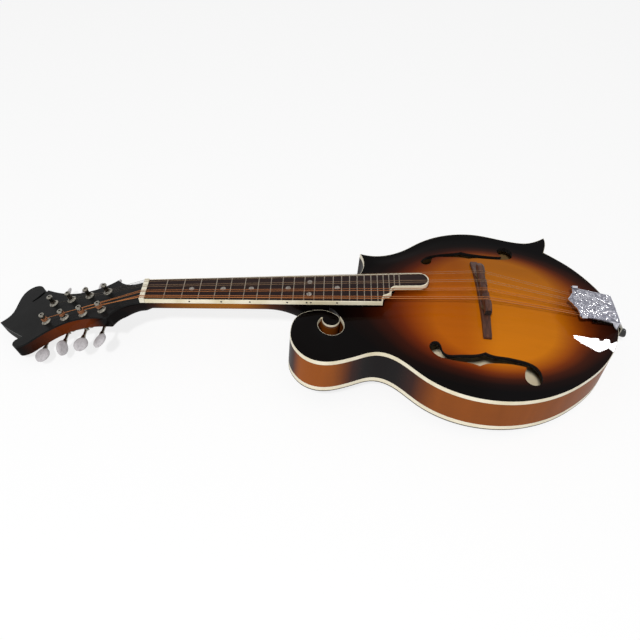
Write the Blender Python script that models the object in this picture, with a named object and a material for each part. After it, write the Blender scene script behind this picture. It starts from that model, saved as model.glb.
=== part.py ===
"""F-style mandolin: carved scroll body, neck with geared tuners, two-piece bridge, tailpiece and eight strings.

Body frame: origin on the centreline above the fret where neck and body meet, on the plane of the top
edge, +X to the tail, +Y to the treble side, +Z out of the top. The whole object is then tilted so that it
lies on its back: on the arch of the back plate and on the lower corner of the headstock tip.
"""
import math

import bmesh
import bpy
import numpy as np
from mathutils import Matrix, Vector
from mathutils.geometry import delaunay_2d_cdt

# Gaps and thicknesses shared by several pieces
CLEARANCE = 0.0003
GLUE_GAP = 0.0005
CURVE_STEP_DEGREES = 18.0
CURVE_STEP_LENGTH = 0.020

# Body outline
BODY_FRONT_X = -0.0108
BODY_TAIL_X = 0.2940
BOUT_X = 0.1520
BASS_BOUT = 0.1250
TREBLE_BOUT = 0.1243
WAIST_X = 0.0390
BASS_WAIST = 0.0741
TREBLE_WAIST = 0.0716
HEEL_WIDTH_BASS = 0.0170
HEEL_WIDTH_TREBLE = 0.0208
SCROLL_CENTRE_X = -0.0092
SCROLL_CENTRE_Y = -0.0334
SCROLL_DISC_RADIUS = 0.0090
SCROLL_THROAT = 0.0014
SCROLL_LEFT_X = -0.0493
SCROLL_TOP_Y = -0.0206
SHOULDER_Y = -0.0917
UPPER_POINT = (0.0214, 0.0737)
LOWER_POINT = (0.2409, 0.1283)
LOWER_POINT_NOTCH = (0.2356, 0.1007)

# Body depth and walls
BODY_DEPTH = 0.0430
BINDING_HEIGHT = 0.0050
BINDING_WIDTH = 0.0016
BACK_LIP = 0.0012
RIM_WALL = 0.0026
TOP_ARCH = 0.0160
BACK_ARCH = 0.0095
PLATE_THICKNESS = 0.0042
GLUE_LEDGE = 0.0090
RECURVE_WIDTH = 0.0180
ARCH_CENTRE_X = 0.1400
ARCH_HALF_LENGTH = 0.1520
ARCH_HALF_WIDTH = 0.1220
ARCH_FULLNESS = 1.15
SCROLL_CROWN = 0.0015
PLATE_GRID = 0.0230
F_HOLE_EYE = (0.0942, 0.0665, 0.0063)
F_HOLE_FOOT = (0.1880, 0.0943, 0.0088)
F_HOLE_INNER_NICK = (0.1428, 0.0704)
F_HOLE_OUTER_NICK = (0.1360, 0.0862)
TREBLE_HOLE_LEAN = 0.13
REST_FLAT_DEPTH = 0.0003

# Blocks, tone bars
TAIL_BLOCK_LENGTH = 0.0150
TAIL_BLOCK_HALF_WIDTH = 0.0260
NECK_BLOCK_REACH = 0.0260
TONE_BAR_WIDTH = 0.0060
TONE_BAR_DEPTH = 0.0110
TONE_BAR_OFFSET = 0.0300
TONE_BAR_START = 0.0620
TONE_BAR_END = 0.2300

# Neck and fingerboard
SCALE_LENGTH = 0.3524
FRET_COUNT = 24
BODY_JOINT_FRET = 15
NECK_ANGLE = 6.32
FRET_PLANE_LIFT = 0.0137
FINGERBOARD_THICKNESS = 0.0050
NUT_HALF_WIDTH = 0.0139
JOINT_HALF_WIDTH = 0.0189
FRET_WIDTH = 0.0013
FRET_HEIGHT = 0.0008
FINGERBOARD_BINDING = 0.0015
BASS_END_PAST_FRET = 0.0030
EXTENSION_LENGTH = 0.2940
EXTENSION_NEAR_Y = 0.0034
NECK_DEPTH_NUT = 0.0160
NECK_DEPTH_BODY = 0.0172
HEEL_START_X = -0.0620
HEEL_TOP_HALF_WIDTH = 0.0166
HEEL_CAP_HALF_WIDTH = 0.0085
TONGUE_END_X = 0.0560
TONGUE_HALF_WIDTH = 0.0150
TENON_LENGTH = 0.0200
TENON_HALF_WIDTH = 0.0070
NUT_LENGTH = 0.0055
NUT_RISE = 0.0014
TRUSS_ROD_WIDTH = 0.0050
TRUSS_ROD_DEPTH = 0.0070

# Headstock
HEAD_ANGLE = 14.6
HEAD_DROP = 0.00246
HEAD_THICKNESS = 0.0145
OVERLAY_THICKNESS = 0.0020
OVERLAY_NUT_GAP = 0.0009

# Tuners
TUNER_COUNT = 4
TUNER_FIRST = 0.0502
TUNER_SPACING = 0.0224
TUNER_ROW_BASS = 0.0153
TUNER_ROW_TREBLE = 0.0125
POST_HEIGHT = 0.0118
POST_RADIUS = 0.0030
POST_WAIST_RADIUS = 0.0023
POST_WAIST_LOW = 0.0018
POST_WAIST_HIGH = 0.0106
POST_SEGMENTS = 12
POST_HOLE_RADIUS = 0.0008
GEAR_TEETH = 12
GEAR_RADIUS = 0.0031
GEAR_TOOTH_DEPTH = 0.0006
GEAR_LENGTH = 0.0034
WORM_RADIUS = 0.0015
WORM_LENGTH = 0.0060
WORM_SHAFT_RADIUS = 0.0011
BUSHING_RADIUS = 0.0050
BUSHING_SLEEVE = 0.0038
BUSHING_RIM = 0.0010
BUSHING_DEPTH = 0.0045
TUNER_PLATE_THICKNESS = 0.0010
TUNER_PLATE_HALF_WIDTH = 0.0058
TUNER_PLATE_MARGIN = 0.0085
BEARING_THICKNESS = 0.0014
BUTTON_CENTRE = 0.0425
BUTTON_CENTRE_TIP = 0.0475
BUTTON_LENGTH = 0.0076
BUTTON_WIDTH = 0.0075
BUTTON_THICKNESS = 0.0040

# Bridge
BRIDGE_X = 0.1457
BRIDGE_BASE_HALF_LENGTH = 0.0560
BRIDGE_WIDTH = 0.0086
BRIDGE_BASE_THICKNESS = 0.0062
BRIDGE_FOOT_THICKNESS = 0.0038
SADDLE_HALF_LENGTH = 0.0350
SADDLE_WIDTH = 0.0066
SADDLE_TOP_WIDTH = 0.0036
SADDLE_HEIGHT = 0.0072
STUD_Y = 0.0235
STUD_RADIUS = 0.0015
STUD_ENGAGEMENT = 0.0036
WHEEL_RADIUS = 0.0046
WHEEL_THICKNESS = 0.0022
WHEEL_SEGMENTS = 16
ACTION_AT_BRIDGE = 0.0030
SADDLE_TRAVEL_UP = 0.0025

# Tailpiece
TAILPIECE_FRONT_X = 0.2350
TAILPIECE_EAR_X = 0.2455
TAILPIECE_REAR_X = 0.2905
TAILPIECE_FRONT_Z = 0.0205
TAILPIECE_REAR_Z = 0.0118
TAILPIECE_EAR_Y = 0.0240
TAILPIECE_REAR_Y = 0.0210
TAILPIECE_SHEET = 0.0014
BRACKET_SHEET = 0.0014
BRACKET_FRONT_X = 0.2620
BRACKET_HALF_WIDTH = 0.0170
BRACKET_LEG = 0.0330
HOOK_X = 0.2740
HOOK_HEIGHT = 0.0046
END_PIN_RADIUS = 0.0050
END_PIN_LENGTH = 0.0150
END_PIN_STEM = 0.0028
END_PIN_DEPTH = 0.0210

# Strings: diameter of each pair and the places of the pairs
STRING_DIAMETERS = {"g": 0.00100, "d": 0.00066, "a": 0.00041, "e": 0.00036}
STRING_TURNS = {"g": 2, "d": 2, "a": 1, "e": 1}
PAIR_SPREAD_NUT = 0.0244
PAIR_SPREAD_BRIDGE = 0.0400
PAIR_SPREAD_TAIL = 0.0250
PAIR_GAP_NUT = 0.0024
PAIR_GAP_BRIDGE = 0.0028
COIL_POINTS = 24
COIL_SPACE = 0.00050
NEAR_COIL_LIFT = 0.0021


def clear_scene():
    """Start from an empty file."""
    for thing in list(bpy.data.objects):
        bpy.data.objects.remove(thing, do_unlink=True)


# Materials

def finish(name, colour, roughness, metallic=0.0):
    """One plain material with its colour, roughness and metallic value."""
    material = bpy.data.materials.new(name)
    material.use_nodes = True
    shader = material.node_tree.nodes["Principled BSDF"]
    shader.inputs["Base Color"].default_value = (*colour, 1.0)
    shader.inputs["Roughness"].default_value = roughness
    shader.inputs["Metallic"].default_value = metallic
    material.diffuse_color = (*colour, 1.0)
    return material


FINISHES = {
    "sunburst": ((0.52, 0.20, 0.02), 0.12, 0.0),
    "rim_maple": ((0.40, 0.13, 0.03), 0.15, 0.0),
    "black_lacquer": ((0.01, 0.01, 0.01), 0.12, 0.0),
    "cream": ((0.80, 0.74, 0.60), 0.30, 0.0),
    "rosewood": ((0.06, 0.035, 0.025), 0.45, 0.0),
    "bare_wood": ((0.62, 0.45, 0.27), 0.60, 0.0),
    "chrome": ((0.75, 0.75, 0.76), 0.12, 1.0),
    "steel": ((0.55, 0.55, 0.56), 0.30, 1.0),
    "bronze": ((0.62, 0.33, 0.16), 0.30, 1.0),
    "pearl": ((0.78, 0.78, 0.78), 0.25, 0.0),
}


def material_for(slot):
    """A material of its own for one piece, in the finish of its slot."""
    colour, roughness, metallic = FINISHES[slot]
    return finish(slot, colour, roughness, metallic)


# Frames

FRET_PLANE_SLOPE = math.tan(math.radians(NECK_ANGLE))


def turn_y(degrees):
    return Matrix.Rotation(math.radians(degrees), 4, "Y")


def fret_position(number):
    """Distance of a fret from the nut."""
    return SCALE_LENGTH * (1.0 - 2.0 ** (-number / 12.0))


NECK_IN_BODY = (Matrix.Translation((0.0, 0.0, FRET_PLANE_LIFT)) @ turn_y(-NECK_ANGLE)
                @ Matrix.Translation((-fret_position(BODY_JOINT_FRET), 0.0, 0.0)))
HEAD_IN_BODY = NECK_IN_BODY @ Matrix.Translation((0.0, 0.0, -HEAD_DROP)) @ turn_y(-HEAD_ANGLE)


def fret_plane(x):
    """Height of the plane of the fret tops' board above the top edge, at a place along the body."""
    return FRET_PLANE_LIFT + FRET_PLANE_SLOPE * x


def add_frame(name, matrix, parent=None):
    empty = bpy.data.objects.new(name, None)
    bpy.context.scene.collection.objects.link(empty)
    empty.parent = parent
    empty.matrix_local = matrix
    return empty


# Outlines: chains of Bezier curves through key points with headings in degrees

def signed_turn(start, end):
    return (end - start + 180.0) % 360.0 - 180.0


def trace(keys, step_degrees=CURVE_STEP_DEGREES, step_length=CURVE_STEP_LENGTH, closed=True):
    """Points along curves through keys (x, y, heading in, heading out), fewer where the curve is straight."""
    points = []
    pairs = list(zip(keys, keys[1:] + keys[:1])) if closed else list(zip(keys, keys[1:]))
    for first, last in pairs:
        start = Vector((first[0], first[1]))
        end = Vector((last[0], last[1]))
        chord = (end - start).length
        out_angle = math.radians(first[3])
        in_angle = math.radians(last[2])
        turn = abs(signed_turn(first[3], last[2]))
        chord_heading = math.degrees(math.atan2(end.y - start.y, end.x - start.x))
        bend = abs(signed_turn(first[3], chord_heading)) + abs(signed_turn(chord_heading, last[2]))
        half = math.radians(max(turn, 1.0)) / 2.0
        reach = chord * (2.0 / 3.0) * math.tan(half / 2.0) / math.sin(half)
        first_handle = start + reach * Vector((math.cos(out_angle), math.sin(out_angle)))
        last_handle = end - reach * Vector((math.cos(in_angle), math.sin(in_angle)))
        steps = max(1, math.ceil(bend / step_degrees))
        if bend > 2.0:
            steps = max(steps, math.ceil(chord / step_length))
        for index in range(steps):
            t = index / steps
            point = ((1 - t) ** 3 * start + 3 * (1 - t) ** 2 * t * first_handle
                     + 3 * (1 - t) * t * t * last_handle + t ** 3 * end)
            points.append((point.x, point.y))
    if not closed:
        points.append((keys[-1][0], keys[-1][1]))
    return points


def smooth_key(x, y, heading):
    return (x, y, heading, heading)


def on_disc(angle, radius=SCROLL_DISC_RADIUS):
    """A point of the scroll's round end."""
    turn = math.radians(angle)
    return (SCROLL_CENTRE_X + radius * math.cos(turn), SCROLL_CENTRE_Y + radius * math.sin(turn))


def body_outline():
    """Outer edge of the body, counter-clockwise seen from above, with the slot of the scroll."""
    cx, cy, disc = SCROLL_CENTRE_X, SCROLL_CENTRE_Y, SCROLL_DISC_RADIUS
    throat = on_disc(30.0, disc + SCROLL_THROAT)
    slot_end = on_disc(172.0)
    leaving = on_disc(62.0)
    keys = [
        (BODY_FRONT_X, -HEEL_WIDTH_BASS, -90.0, -22.0),
        smooth_key(*throat, -60.0),
        smooth_key(cx + disc + 0.0045, cy - 0.0085, -92.0),
        smooth_key(cx + 0.0007, cy - disc - 0.0132, 180.0),
        smooth_key(cx - disc - 0.0042, cy - 0.0083, 94.0),
        smooth_key(slot_end[0] - 0.0012, slot_end[1] - 0.0003, 60.0),
        smooth_key(*slot_end, -98.0),
        smooth_key(cx, cy - disc, 0.0),
        smooth_key(cx + disc, cy, 90.0),
        smooth_key(*leaving, 152.0),
        smooth_key(cx - disc, SCROLL_TOP_Y, 180.0),
        smooth_key(SCROLL_LEFT_X + 0.0103, SCROLL_TOP_Y - 0.0072, 216.0),
        smooth_key(SCROLL_LEFT_X, SCROLL_TOP_Y - 0.0350, -90.0),
        smooth_key(SCROLL_LEFT_X + 0.0113, SHOULDER_Y + 0.0095, -46.0),
        smooth_key(SCROLL_LEFT_X + 0.0338, SHOULDER_Y, 0.0),
        smooth_key(WAIST_X - 0.0250, -BASS_WAIST - 0.0089, 24.0),
        smooth_key(WAIST_X, -BASS_WAIST, 0.0),
        smooth_key(WAIST_X + 0.0420, -(BASS_WAIST + BASS_BOUT) / 2.0 - 0.0014, -40.0),
        smooth_key(BOUT_X, -BASS_BOUT, 0.0),
        smooth_key(BOUT_X + 0.0780, -BASS_BOUT + 0.0254, 35.0),
        smooth_key(BODY_TAIL_X - 0.0150, -0.0490, 60.0),
        smooth_key(BODY_TAIL_X, 0.0, 90.0),
        smooth_key(BODY_TAIL_X - 0.0140, 0.0505, 119.0),
        smooth_key(BODY_TAIL_X - 0.0400, 0.0850, 137.0),
        (*LOWER_POINT_NOTCH, 143.0, 71.0),
        (*LOWER_POINT, 100.0, 217.0),
        smooth_key(LOWER_POINT[0] - 0.0294, TREBLE_BOUT - 0.0092, 180.0),
        smooth_key(BOUT_X + 0.0010, TREBLE_BOUT, 180.0),
        smooth_key(WAIST_X + 0.0430, (TREBLE_WAIST + TREBLE_BOUT) / 2.0 - 0.0032, 223.0),
        smooth_key(WAIST_X - 0.0045, TREBLE_WAIST, 180.0),
        (*UPPER_POINT, 166.0, -63.0),
        (BODY_FRONT_X, HEEL_WIDTH_TREBLE, 180.0, -90.0),
    ]
    return trace(keys)


def f_hole(side):
    """Outline of one f-hole; side is -1 for bass and 1 for treble. Keys are for the treble side."""
    eye_x, eye_y, eye = F_HOLE_EYE
    foot_x, foot_y, foot = F_HOLE_FOOT
    nick_in = F_HOLE_INNER_NICK
    nick_out = F_HOLE_OUTER_NICK
    keys = [
        smooth_key(eye_x + eye * 0.97, eye_y + 0.0030, -100.0),
        smooth_key(eye_x, eye_y - eye, 180.0),
        smooth_key(eye_x - eye, eye_y, 90.0),
        smooth_key(eye_x - 0.0012, eye_y + 0.0083, 46.0),
        smooth_key(eye_x + 0.0130, eye_y + 0.0143, 14.0),
        (*nick_out, 24.0, -30.0),
        smooth_key(nick_out[0] + 0.0110, nick_out[1] - 0.0038, -6.0),
        (foot_x - 0.0055, foot_y - 0.0111, 12.0, 115.0),
        smooth_key(foot_x - foot, foot_y, 90.0),
        smooth_key(foot_x, foot_y + foot, 0.0),
        smooth_key(foot_x + foot, foot_y - 0.0010, -90.0),
        smooth_key(foot_x + 0.0034, foot_y - 0.0138, 215.0),
        smooth_key(foot_x - 0.0200, foot_y - 0.0198, 188.0),
        (*nick_in, 212.0, 152.0),
        smooth_key(nick_in[0] - 0.0240, nick_in[1] + 0.0043, 178.0),
        smooth_key(nick_in[0] - 0.0365, nick_in[1] + 0.0049, 190.0),
    ]
    lean = TREBLE_HOLE_LEAN if side > 0 else 0.0
    return [(x, side * (y - lean * max(0.0, nick_in[0] - x))) for x, y in trace(keys, 26.0, 0.030)]


def head_outline(root):
    """Outline of the headstock in its own frame, from the tip to x = root; the nut is at x = 0."""
    keys = [
        (root, 0.0158, 90.0, 0.0),
        smooth_key(-0.0180, 0.0154, 2.0),
        (-0.0402, 0.0290, 50.0, -32.0),
        smooth_key(-0.0780, 0.0203, 0.0),
        (-0.1318, 0.0386, 30.0, -55.0),
        smooth_key(-0.1385, 0.0290, -44.0),
        smooth_key(-0.1462, 0.0238, -35.0),
        smooth_key(-0.1466, 0.0262, 140.0),
        smooth_key(-0.1405, 0.0325, 125.0),
        smooth_key(-0.1362, 0.0390, 70.0),
        smooth_key(-0.1520, 0.0512, 0.0),
        smooth_key(-0.1658, 0.0400, -75.0),
        smooth_key(-0.1676, 0.0140, -82.0),
        (-0.1797, -0.0008, -27.0, 223.0),
        smooth_key(-0.1540, -0.0213, 215.0),
        (-0.1386, -0.0316, 210.0, -30.0),
        smooth_key(-0.1478, -0.0385, -85.0),
        smooth_key(-0.1400, -0.0452, 180.0),
        smooth_key(-0.1270, -0.0410, 142.0),
        smooth_key(-0.0800, -0.0216, 180.0),
        (-0.0400, -0.0292, 212.0, 130.0),
        smooth_key(-0.0180, -0.0154, 178.0),
        (root, -0.0158, 180.0, 90.0),
    ]
    mirrored = [(-x, y, heading_in, heading_out) for x, y, heading_in, heading_out in keys]
    return [(-x, y) for x, y in trace(mirrored, 22.0, 0.030)]


def board_half_width(x):
    """Half width of the bare fingerboard at a distance from the nut."""
    joint = fret_position(BODY_JOINT_FRET)
    return NUT_HALF_WIDTH + (JOINT_HALF_WIDTH - NUT_HALF_WIDTH) * x / joint


def board_outline(grow):
    """Fingerboard in plan from the nut, widened by grow: stepped bass end, rounded treble extension."""
    bass_end = fret_position(20) + BASS_END_PAST_FRET
    far = board_half_width(EXTENSION_LENGTH * 0.9)
    near = EXTENSION_NEAR_Y
    radius = (far - near) / 2.0
    tip = EXTENSION_LENGTH
    keys = [
        (0.0, -board_half_width(0.0) - grow, -90.0, 0.0),
        (bass_end + grow, -board_half_width(bass_end) - grow, 0.0, 92.0),
        (bass_end + 0.0018 + grow, near - 0.0140 - grow, 70.0, 20.0),
        (bass_end + 0.0092 + grow, near - 0.0105 - grow, 30.0, 92.0),
        (bass_end + 0.0096 + grow, near - 0.0040 - grow, 85.0, 60.0),
        (bass_end + 0.0140 + grow, near - grow, 20.0, 0.0),
        (tip - radius, near - grow, 0.0, 0.0),
        (tip + grow, near + radius, 90.0, 90.0),
        (tip - radius, far + grow, 180.0, 180.0),
        (0.0, board_half_width(0.0) + grow, 180.0, -90.0),
    ]
    return trace(keys, 18.0, 0.5)


# Plane geometry

def as_array(points):
    return np.array(points, dtype=float)


def distance_to_loop(points, loop):
    """Least distance of each point to a closed outline."""
    points = as_array(points)
    start = as_array(loop)
    end = np.roll(start, -1, axis=0)
    along = end - start
    offset = points[:, None, :] - start[None, :, :]
    share = np.clip((offset * along).sum(2) / (along * along).sum(1), 0.0, 1.0)
    nearest = start[None] + share[..., None] * along[None]
    return np.sqrt(((points[:, None, :] - nearest) ** 2).sum(2)).min(1)


def inside_loop(points, loop):
    """True for each point inside a closed outline."""
    points = as_array(points)
    start = as_array(loop)
    end = np.roll(start, -1, axis=0)
    x, y = points[:, 0:1], points[:, 1:2]
    spans = (start[:, 1] > y) != (end[:, 1] > y)
    with np.errstate(divide="ignore", invalid="ignore"):
        crossing = start[:, 0] + (y - start[:, 1]) * (end[:, 0] - start[:, 0]) / (end[:, 1] - start[:, 1])
    return (spans & (x < crossing)).sum(1) % 2 == 1


def inset(loop, distance):
    """Counter-clockwise outline moved inwards, without the points that land too close to the old one."""
    points = as_array(loop)
    before = points - np.roll(points, 1, axis=0)
    after = np.roll(points, -1, axis=0) - points
    before /= np.linalg.norm(before, axis=1)[:, None]
    after /= np.linalg.norm(after, axis=1)[:, None]
    normal_before = np.stack([-before[:, 1], before[:, 0]], axis=1)
    normal_after = np.stack([-after[:, 1], after[:, 0]], axis=1)
    bisector = normal_before + normal_after
    bisector /= np.linalg.norm(bisector, axis=1)[:, None]
    mitre = (bisector * normal_before).sum(1)
    moved = points + bisector * (distance / np.maximum(mitre, 0.35))[:, None]
    keep = distance_to_loop(moved, loop) > 0.985 * abs(distance)
    return [tuple(point) for point in moved[keep]]


def triangulate(outer, holes=(), inner_points=()):
    """Triangles of an outline with holes, all counter-clockwise, and their points."""
    coordinates = []
    edges = []
    for loop in [outer, *holes]:
        first = len(coordinates)
        count = len(loop)
        coordinates += [Vector(point) for point in loop]
        edges += [(first + index, first + (index + 1) % count) for index in range(count)]
    coordinates += [Vector(point) for point in inner_points]
    vertices, _, faces, _, _, _ = delaunay_2d_cdt(coordinates, edges, [], 2, 1e-7)
    points = as_array(vertices)
    centres = points[as_array(faces).astype(int)].mean(1)
    keep = inside_loop(centres, outer)
    for hole in holes:
        keep &= ~inside_loop(centres, hole)
    triangles = []
    for face, kept in zip(faces, keep):
        if not kept:
            continue
        a, b, c = (vertices[index] for index in face)
        area = (b - a).cross(c - a)
        triangles.append(tuple(face) if area > 0.0 else tuple(reversed(face)))
    return [(vertex.x, vertex.y) for vertex in vertices], triangles


def grid_points(outer, holes, spacing, margin):
    """Points of a triangular grid inside an outline, clear of it and of its holes."""
    low = as_array(outer).min(0)
    high = as_array(outer).max(0)
    rows = []
    row_height = spacing * math.sqrt(3.0) / 2.0
    for row in range(int((high[1] - low[1]) / row_height) + 1):
        shift = spacing / 2.0 * (row % 2)
        for column in range(int((high[0] - low[0]) / spacing) + 1):
            rows.append((low[0] + shift + column * spacing, low[1] + row * row_height))
    keep = inside_loop(rows, outer) & (distance_to_loop(rows, outer) > margin)
    for hole in holes:
        keep &= ~inside_loop(rows, hole) & (distance_to_loop(rows, hole) > margin)
    return [point for point, kept in zip(rows, keep) if kept]


# Surfaces of the two carved plates

OUTLINE = body_outline()
F_HOLES = [f_hole(-1), f_hole(1)]
BACK_EDGE_Z = -BODY_DEPTH
RIM_TOP_Z = -BINDING_HEIGHT - CLEARANCE
RIM_BOTTOM_Z = BACK_EDGE_Z + BINDING_HEIGHT + CLEARANCE


def smooth_step(value):
    value = np.clip(value, 0.0, 1.0)
    return value * value * (3.0 - 2.0 * value)


def arch(points, height):
    """Rise of a carved plate: a full dome over the bouts that dies away at the edge."""
    points = as_array(points)
    reach = np.hypot((points[:, 0] - ARCH_CENTRE_X) / ARCH_HALF_LENGTH, points[:, 1] / ARCH_HALF_WIDTH)
    dome = 0.5 * (1.0 + np.cos(math.pi * np.clip(reach, 0.0, 1.0) ** ARCH_FULLNESS))
    edge = distance_to_loop(points, OUTLINE)
    crown = np.where(points[:, 0] < BODY_FRONT_X, SCROLL_CROWN, 0.0)
    return height * dome * smooth_step(edge / RECURVE_WIDTH) + crown * smooth_step(edge / GLUE_LEDGE)


def top_surface(points):
    return arch(points, TOP_ARCH)


def top_underside(points):
    edge = distance_to_loop(points, OUTLINE)
    hollow = smooth_step((edge - GLUE_LEDGE) / RECURVE_WIDTH)
    flat = np.full(len(edge), -BINDING_HEIGHT)
    inner = np.maximum(top_surface(points) - PLATE_THICKNESS, -BINDING_HEIGHT)
    return flat + (inner - flat) * hollow


def back_outside(points):
    return BACK_EDGE_Z - BACK_LIP - arch(points, BACK_ARCH)


def back_inside(points):
    edge = distance_to_loop(points, OUTLINE)
    hollow = smooth_step((edge - GLUE_LEDGE) / RECURVE_WIDTH)
    flat = np.full(len(edge), BACK_EDGE_Z + BINDING_HEIGHT)
    inner = np.minimum(back_outside(points) + PLATE_THICKNESS, BACK_EDGE_Z + BINDING_HEIGHT)
    return flat + (inner - flat) * hollow


def rest_line():
    """Slope and height of the floor in the body frame: from the head's lower tip corner to the back arch."""
    tip_x = min(x for x, _ in head_outline(0.0))
    corner = HEAD_IN_BODY @ Vector((tip_x, 0.0, -HEAD_THICKNESS))
    stations = np.linspace(0.02, 0.26, 241)
    heights = back_outside([(x, 0.0) for x in stations])
    slopes = (heights - corner.z) / (stations - corner.x)
    touch = int(np.argmin(slopes))
    slope = slopes[touch] + REST_FLAT_DEPTH / (stations[touch] - corner.x)
    return slope, corner, stations[touch]


REST_SLOPE, REST_CORNER, REST_X = rest_line()
REST_TILT = math.degrees(math.atan(REST_SLOPE))


def floor_height(x):
    """Height of the floor in the body frame."""
    return REST_CORNER.z + REST_SLOPE * (x - REST_CORNER.x)


def back_rested(points):
    """Outside of the back with the small flat that it lies on."""
    points = as_array(points)
    return np.maximum(back_outside(points), floor_height(points[:, 0]))


# Mesh building

class Builder:
    """Collects the object's pieces and puts each under its frame."""

    def __init__(self):
        self.frames = {}
        self.pieces = {}

    def mesh_object(self, name, mesh, frame, slot, origin=(0.0, 0.0, 0.0)):
        piece = bpy.data.objects.new(name, mesh)
        bpy.context.scene.collection.objects.link(piece)
        piece.parent = self.frames[frame]
        piece.location = origin
        if slot:
            mesh.materials.append(material_for(slot))
        self.pieces[name] = piece
        return piece


MANDOLIN = Builder()


def finish_mesh(bm, name, smooth=False):
    bmesh.ops.remove_doubles(bm, verts=bm.verts, dist=1e-6)
    bmesh.ops.recalc_face_normals(bm, faces=bm.faces)
    mesh = bpy.data.meshes.new(name)
    bm.to_mesh(mesh)
    bm.free()
    if smooth:
        mesh.shade_smooth()
        mesh.set_sharp_from_angle(angle=math.radians(35.0))
    return mesh


def boundary_edges(triangles):
    """Directed edges used by one triangle only."""
    edges = {}
    for a, b, c in triangles:
        for edge in ((a, b), (b, c), (c, a)):
            edges[edge] = True
    return [(a, b) for a, b in edges if (b, a) not in edges]


def add_slab(bm, outer, holes, low, high, inner_points=()):
    """A closed slab between two heights, each a number or a function of points."""
    points, triangles = triangulate(outer, holes, inner_points)
    low_z = low(points) if callable(low) else [low] * len(points)
    high_z = high(points) if callable(high) else [high] * len(points)
    bottom = [bm.verts.new((x, y, z)) for (x, y), z in zip(points, low_z)]
    top = [bm.verts.new((x, y, z)) for (x, y), z in zip(points, high_z)]
    for a, b, c in triangles:
        bm.faces.new((top[a], top[b], top[c]))
        bm.faces.new((bottom[c], bottom[b], bottom[a]))
    for a, b in boundary_edges(triangles):
        bm.faces.new((top[b], top[a], bottom[a], bottom[b]))


def slab(name, outer, holes, low, high, frame, slot, inner_points=(), smooth=False):
    bm = bmesh.new()
    add_slab(bm, outer, holes, low, high, inner_points)
    return MANDOLIN.mesh_object(name, finish_mesh(bm, name, smooth), frame, slot)


def add_box(bm, low, high):
    corners = [(low[0], low[1]), (high[0], low[1]), (high[0], high[1]), (low[0], high[1])]
    add_slab(bm, corners, [], low[2], high[2])


def box(name, low, high, frame, slot):
    bm = bmesh.new()
    add_box(bm, low, high)
    return MANDOLIN.mesh_object(name, finish_mesh(bm, name), frame, slot)


def add_profile(bm, profile, low_y, high_y):
    """A profile in the XZ plane, extruded along Y."""
    count = len(profile)
    near = [bm.verts.new((x, low_y, z)) for x, z in profile]
    far = [bm.verts.new((x, high_y, z)) for x, z in profile]
    bm.faces.new(near)
    bm.faces.new(list(reversed(far)))
    for index in range(count):
        following = (index + 1) % count
        bm.faces.new((near[following], near[index], far[index], far[following]))


def profile_solid(name, profile, low_y, high_y, frame, slot):
    bm = bmesh.new()
    add_profile(bm, profile, low_y, high_y)
    return MANDOLIN.mesh_object(name, finish_mesh(bm, name), frame, slot)


def add_loft(bm, sections):
    """Skin over rings of equal count, with flat ends."""
    rings = [[bm.verts.new(point) for point in section] for section in sections]
    count = len(rings[0])
    for first, second in zip(rings, rings[1:]):
        for index in range(count):
            following = (index + 1) % count
            bm.faces.new((first[index], first[following], second[following], second[index]))
    bm.faces.new(rings[0])
    bm.faces.new(list(reversed(rings[-1])))


def loft(name, sections, frame, slot, origin=(0.0, 0.0, 0.0), smooth=False):
    bm = bmesh.new()
    add_loft(bm, sections)
    return MANDOLIN.mesh_object(name, finish_mesh(bm, name, smooth), frame, slot, origin)


def ring_points(radius, height, count, axis="z"):
    points = []
    for index in range(count):
        turn = 2.0 * math.pi * index / count
        across, up = radius * math.cos(turn), radius * math.sin(turn)
        points.append((across, up, height) if axis == "z" else (across, height, up))
    return points


def add_turned(bm, profile, count, axis="z", bored=False):
    """A turned solid from (radius, height) pairs; a bored one is a closed ring of them."""
    rings = [[bm.verts.new(point) for point in ring_points(radius, height, count, axis)]
             for radius, height in profile]
    pairs = list(zip(rings, rings[1:] + rings[:1])) if bored else list(zip(rings, rings[1:]))
    for first, second in pairs:
        for index in range(count):
            following = (index + 1) % count
            bm.faces.new((first[index], first[following], second[following], second[index]))
    if not bored:
        bm.faces.new(rings[0])
        bm.faces.new(rings[-1])


def turned(name, profile, count, frame, slot, origin=(0.0, 0.0, 0.0), axis="z", bored=False):
    bm = bmesh.new()
    add_turned(bm, profile, count, axis, bored)
    return MANDOLIN.mesh_object(name, finish_mesh(bm, name, True), frame, slot, origin)


def helper(bm, name, frame, origin=(0.0, 0.0, 0.0)):
    """A hidden cutter or part to be joined."""
    piece = MANDOLIN.mesh_object(name, finish_mesh(bm, name), frame, None, origin)
    piece.hide_render = True
    piece.display_type = "WIRE"
    return piece


def boolean(piece, other, operation):
    modifier = piece.modifiers.new(other.name, "BOOLEAN")
    modifier.operation = operation
    modifier.object = other
    modifier.solver = "EXACT"
    return modifier


# Body

def make_body():
    plate_edge = inset(OUTLINE, BINDING_WIDTH + CLEARANCE)
    binding_inner = inset(OUTLINE, BINDING_WIDTH)
    rim_inner = inset(OUTLINE, RIM_WALL)
    grid = grid_points(plate_edge, F_HOLES, PLATE_GRID, 0.0050)
    slab("top_plate", plate_edge, F_HOLES, top_underside, top_surface, "body", "sunburst", grid, True)
    slab("top_binding", OUTLINE, [binding_inner], -BINDING_HEIGHT, 0.0, "body", "cream")
    slab("rim", OUTLINE, [rim_inner], RIM_BOTTOM_Z, RIM_TOP_Z, "body", "rim_maple")
    slab("back_binding", OUTLINE, [binding_inner], BACK_EDGE_Z, BACK_EDGE_Z + BINDING_HEIGHT,
         "body", "cream")
    make_back_plate(plate_edge)


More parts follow.
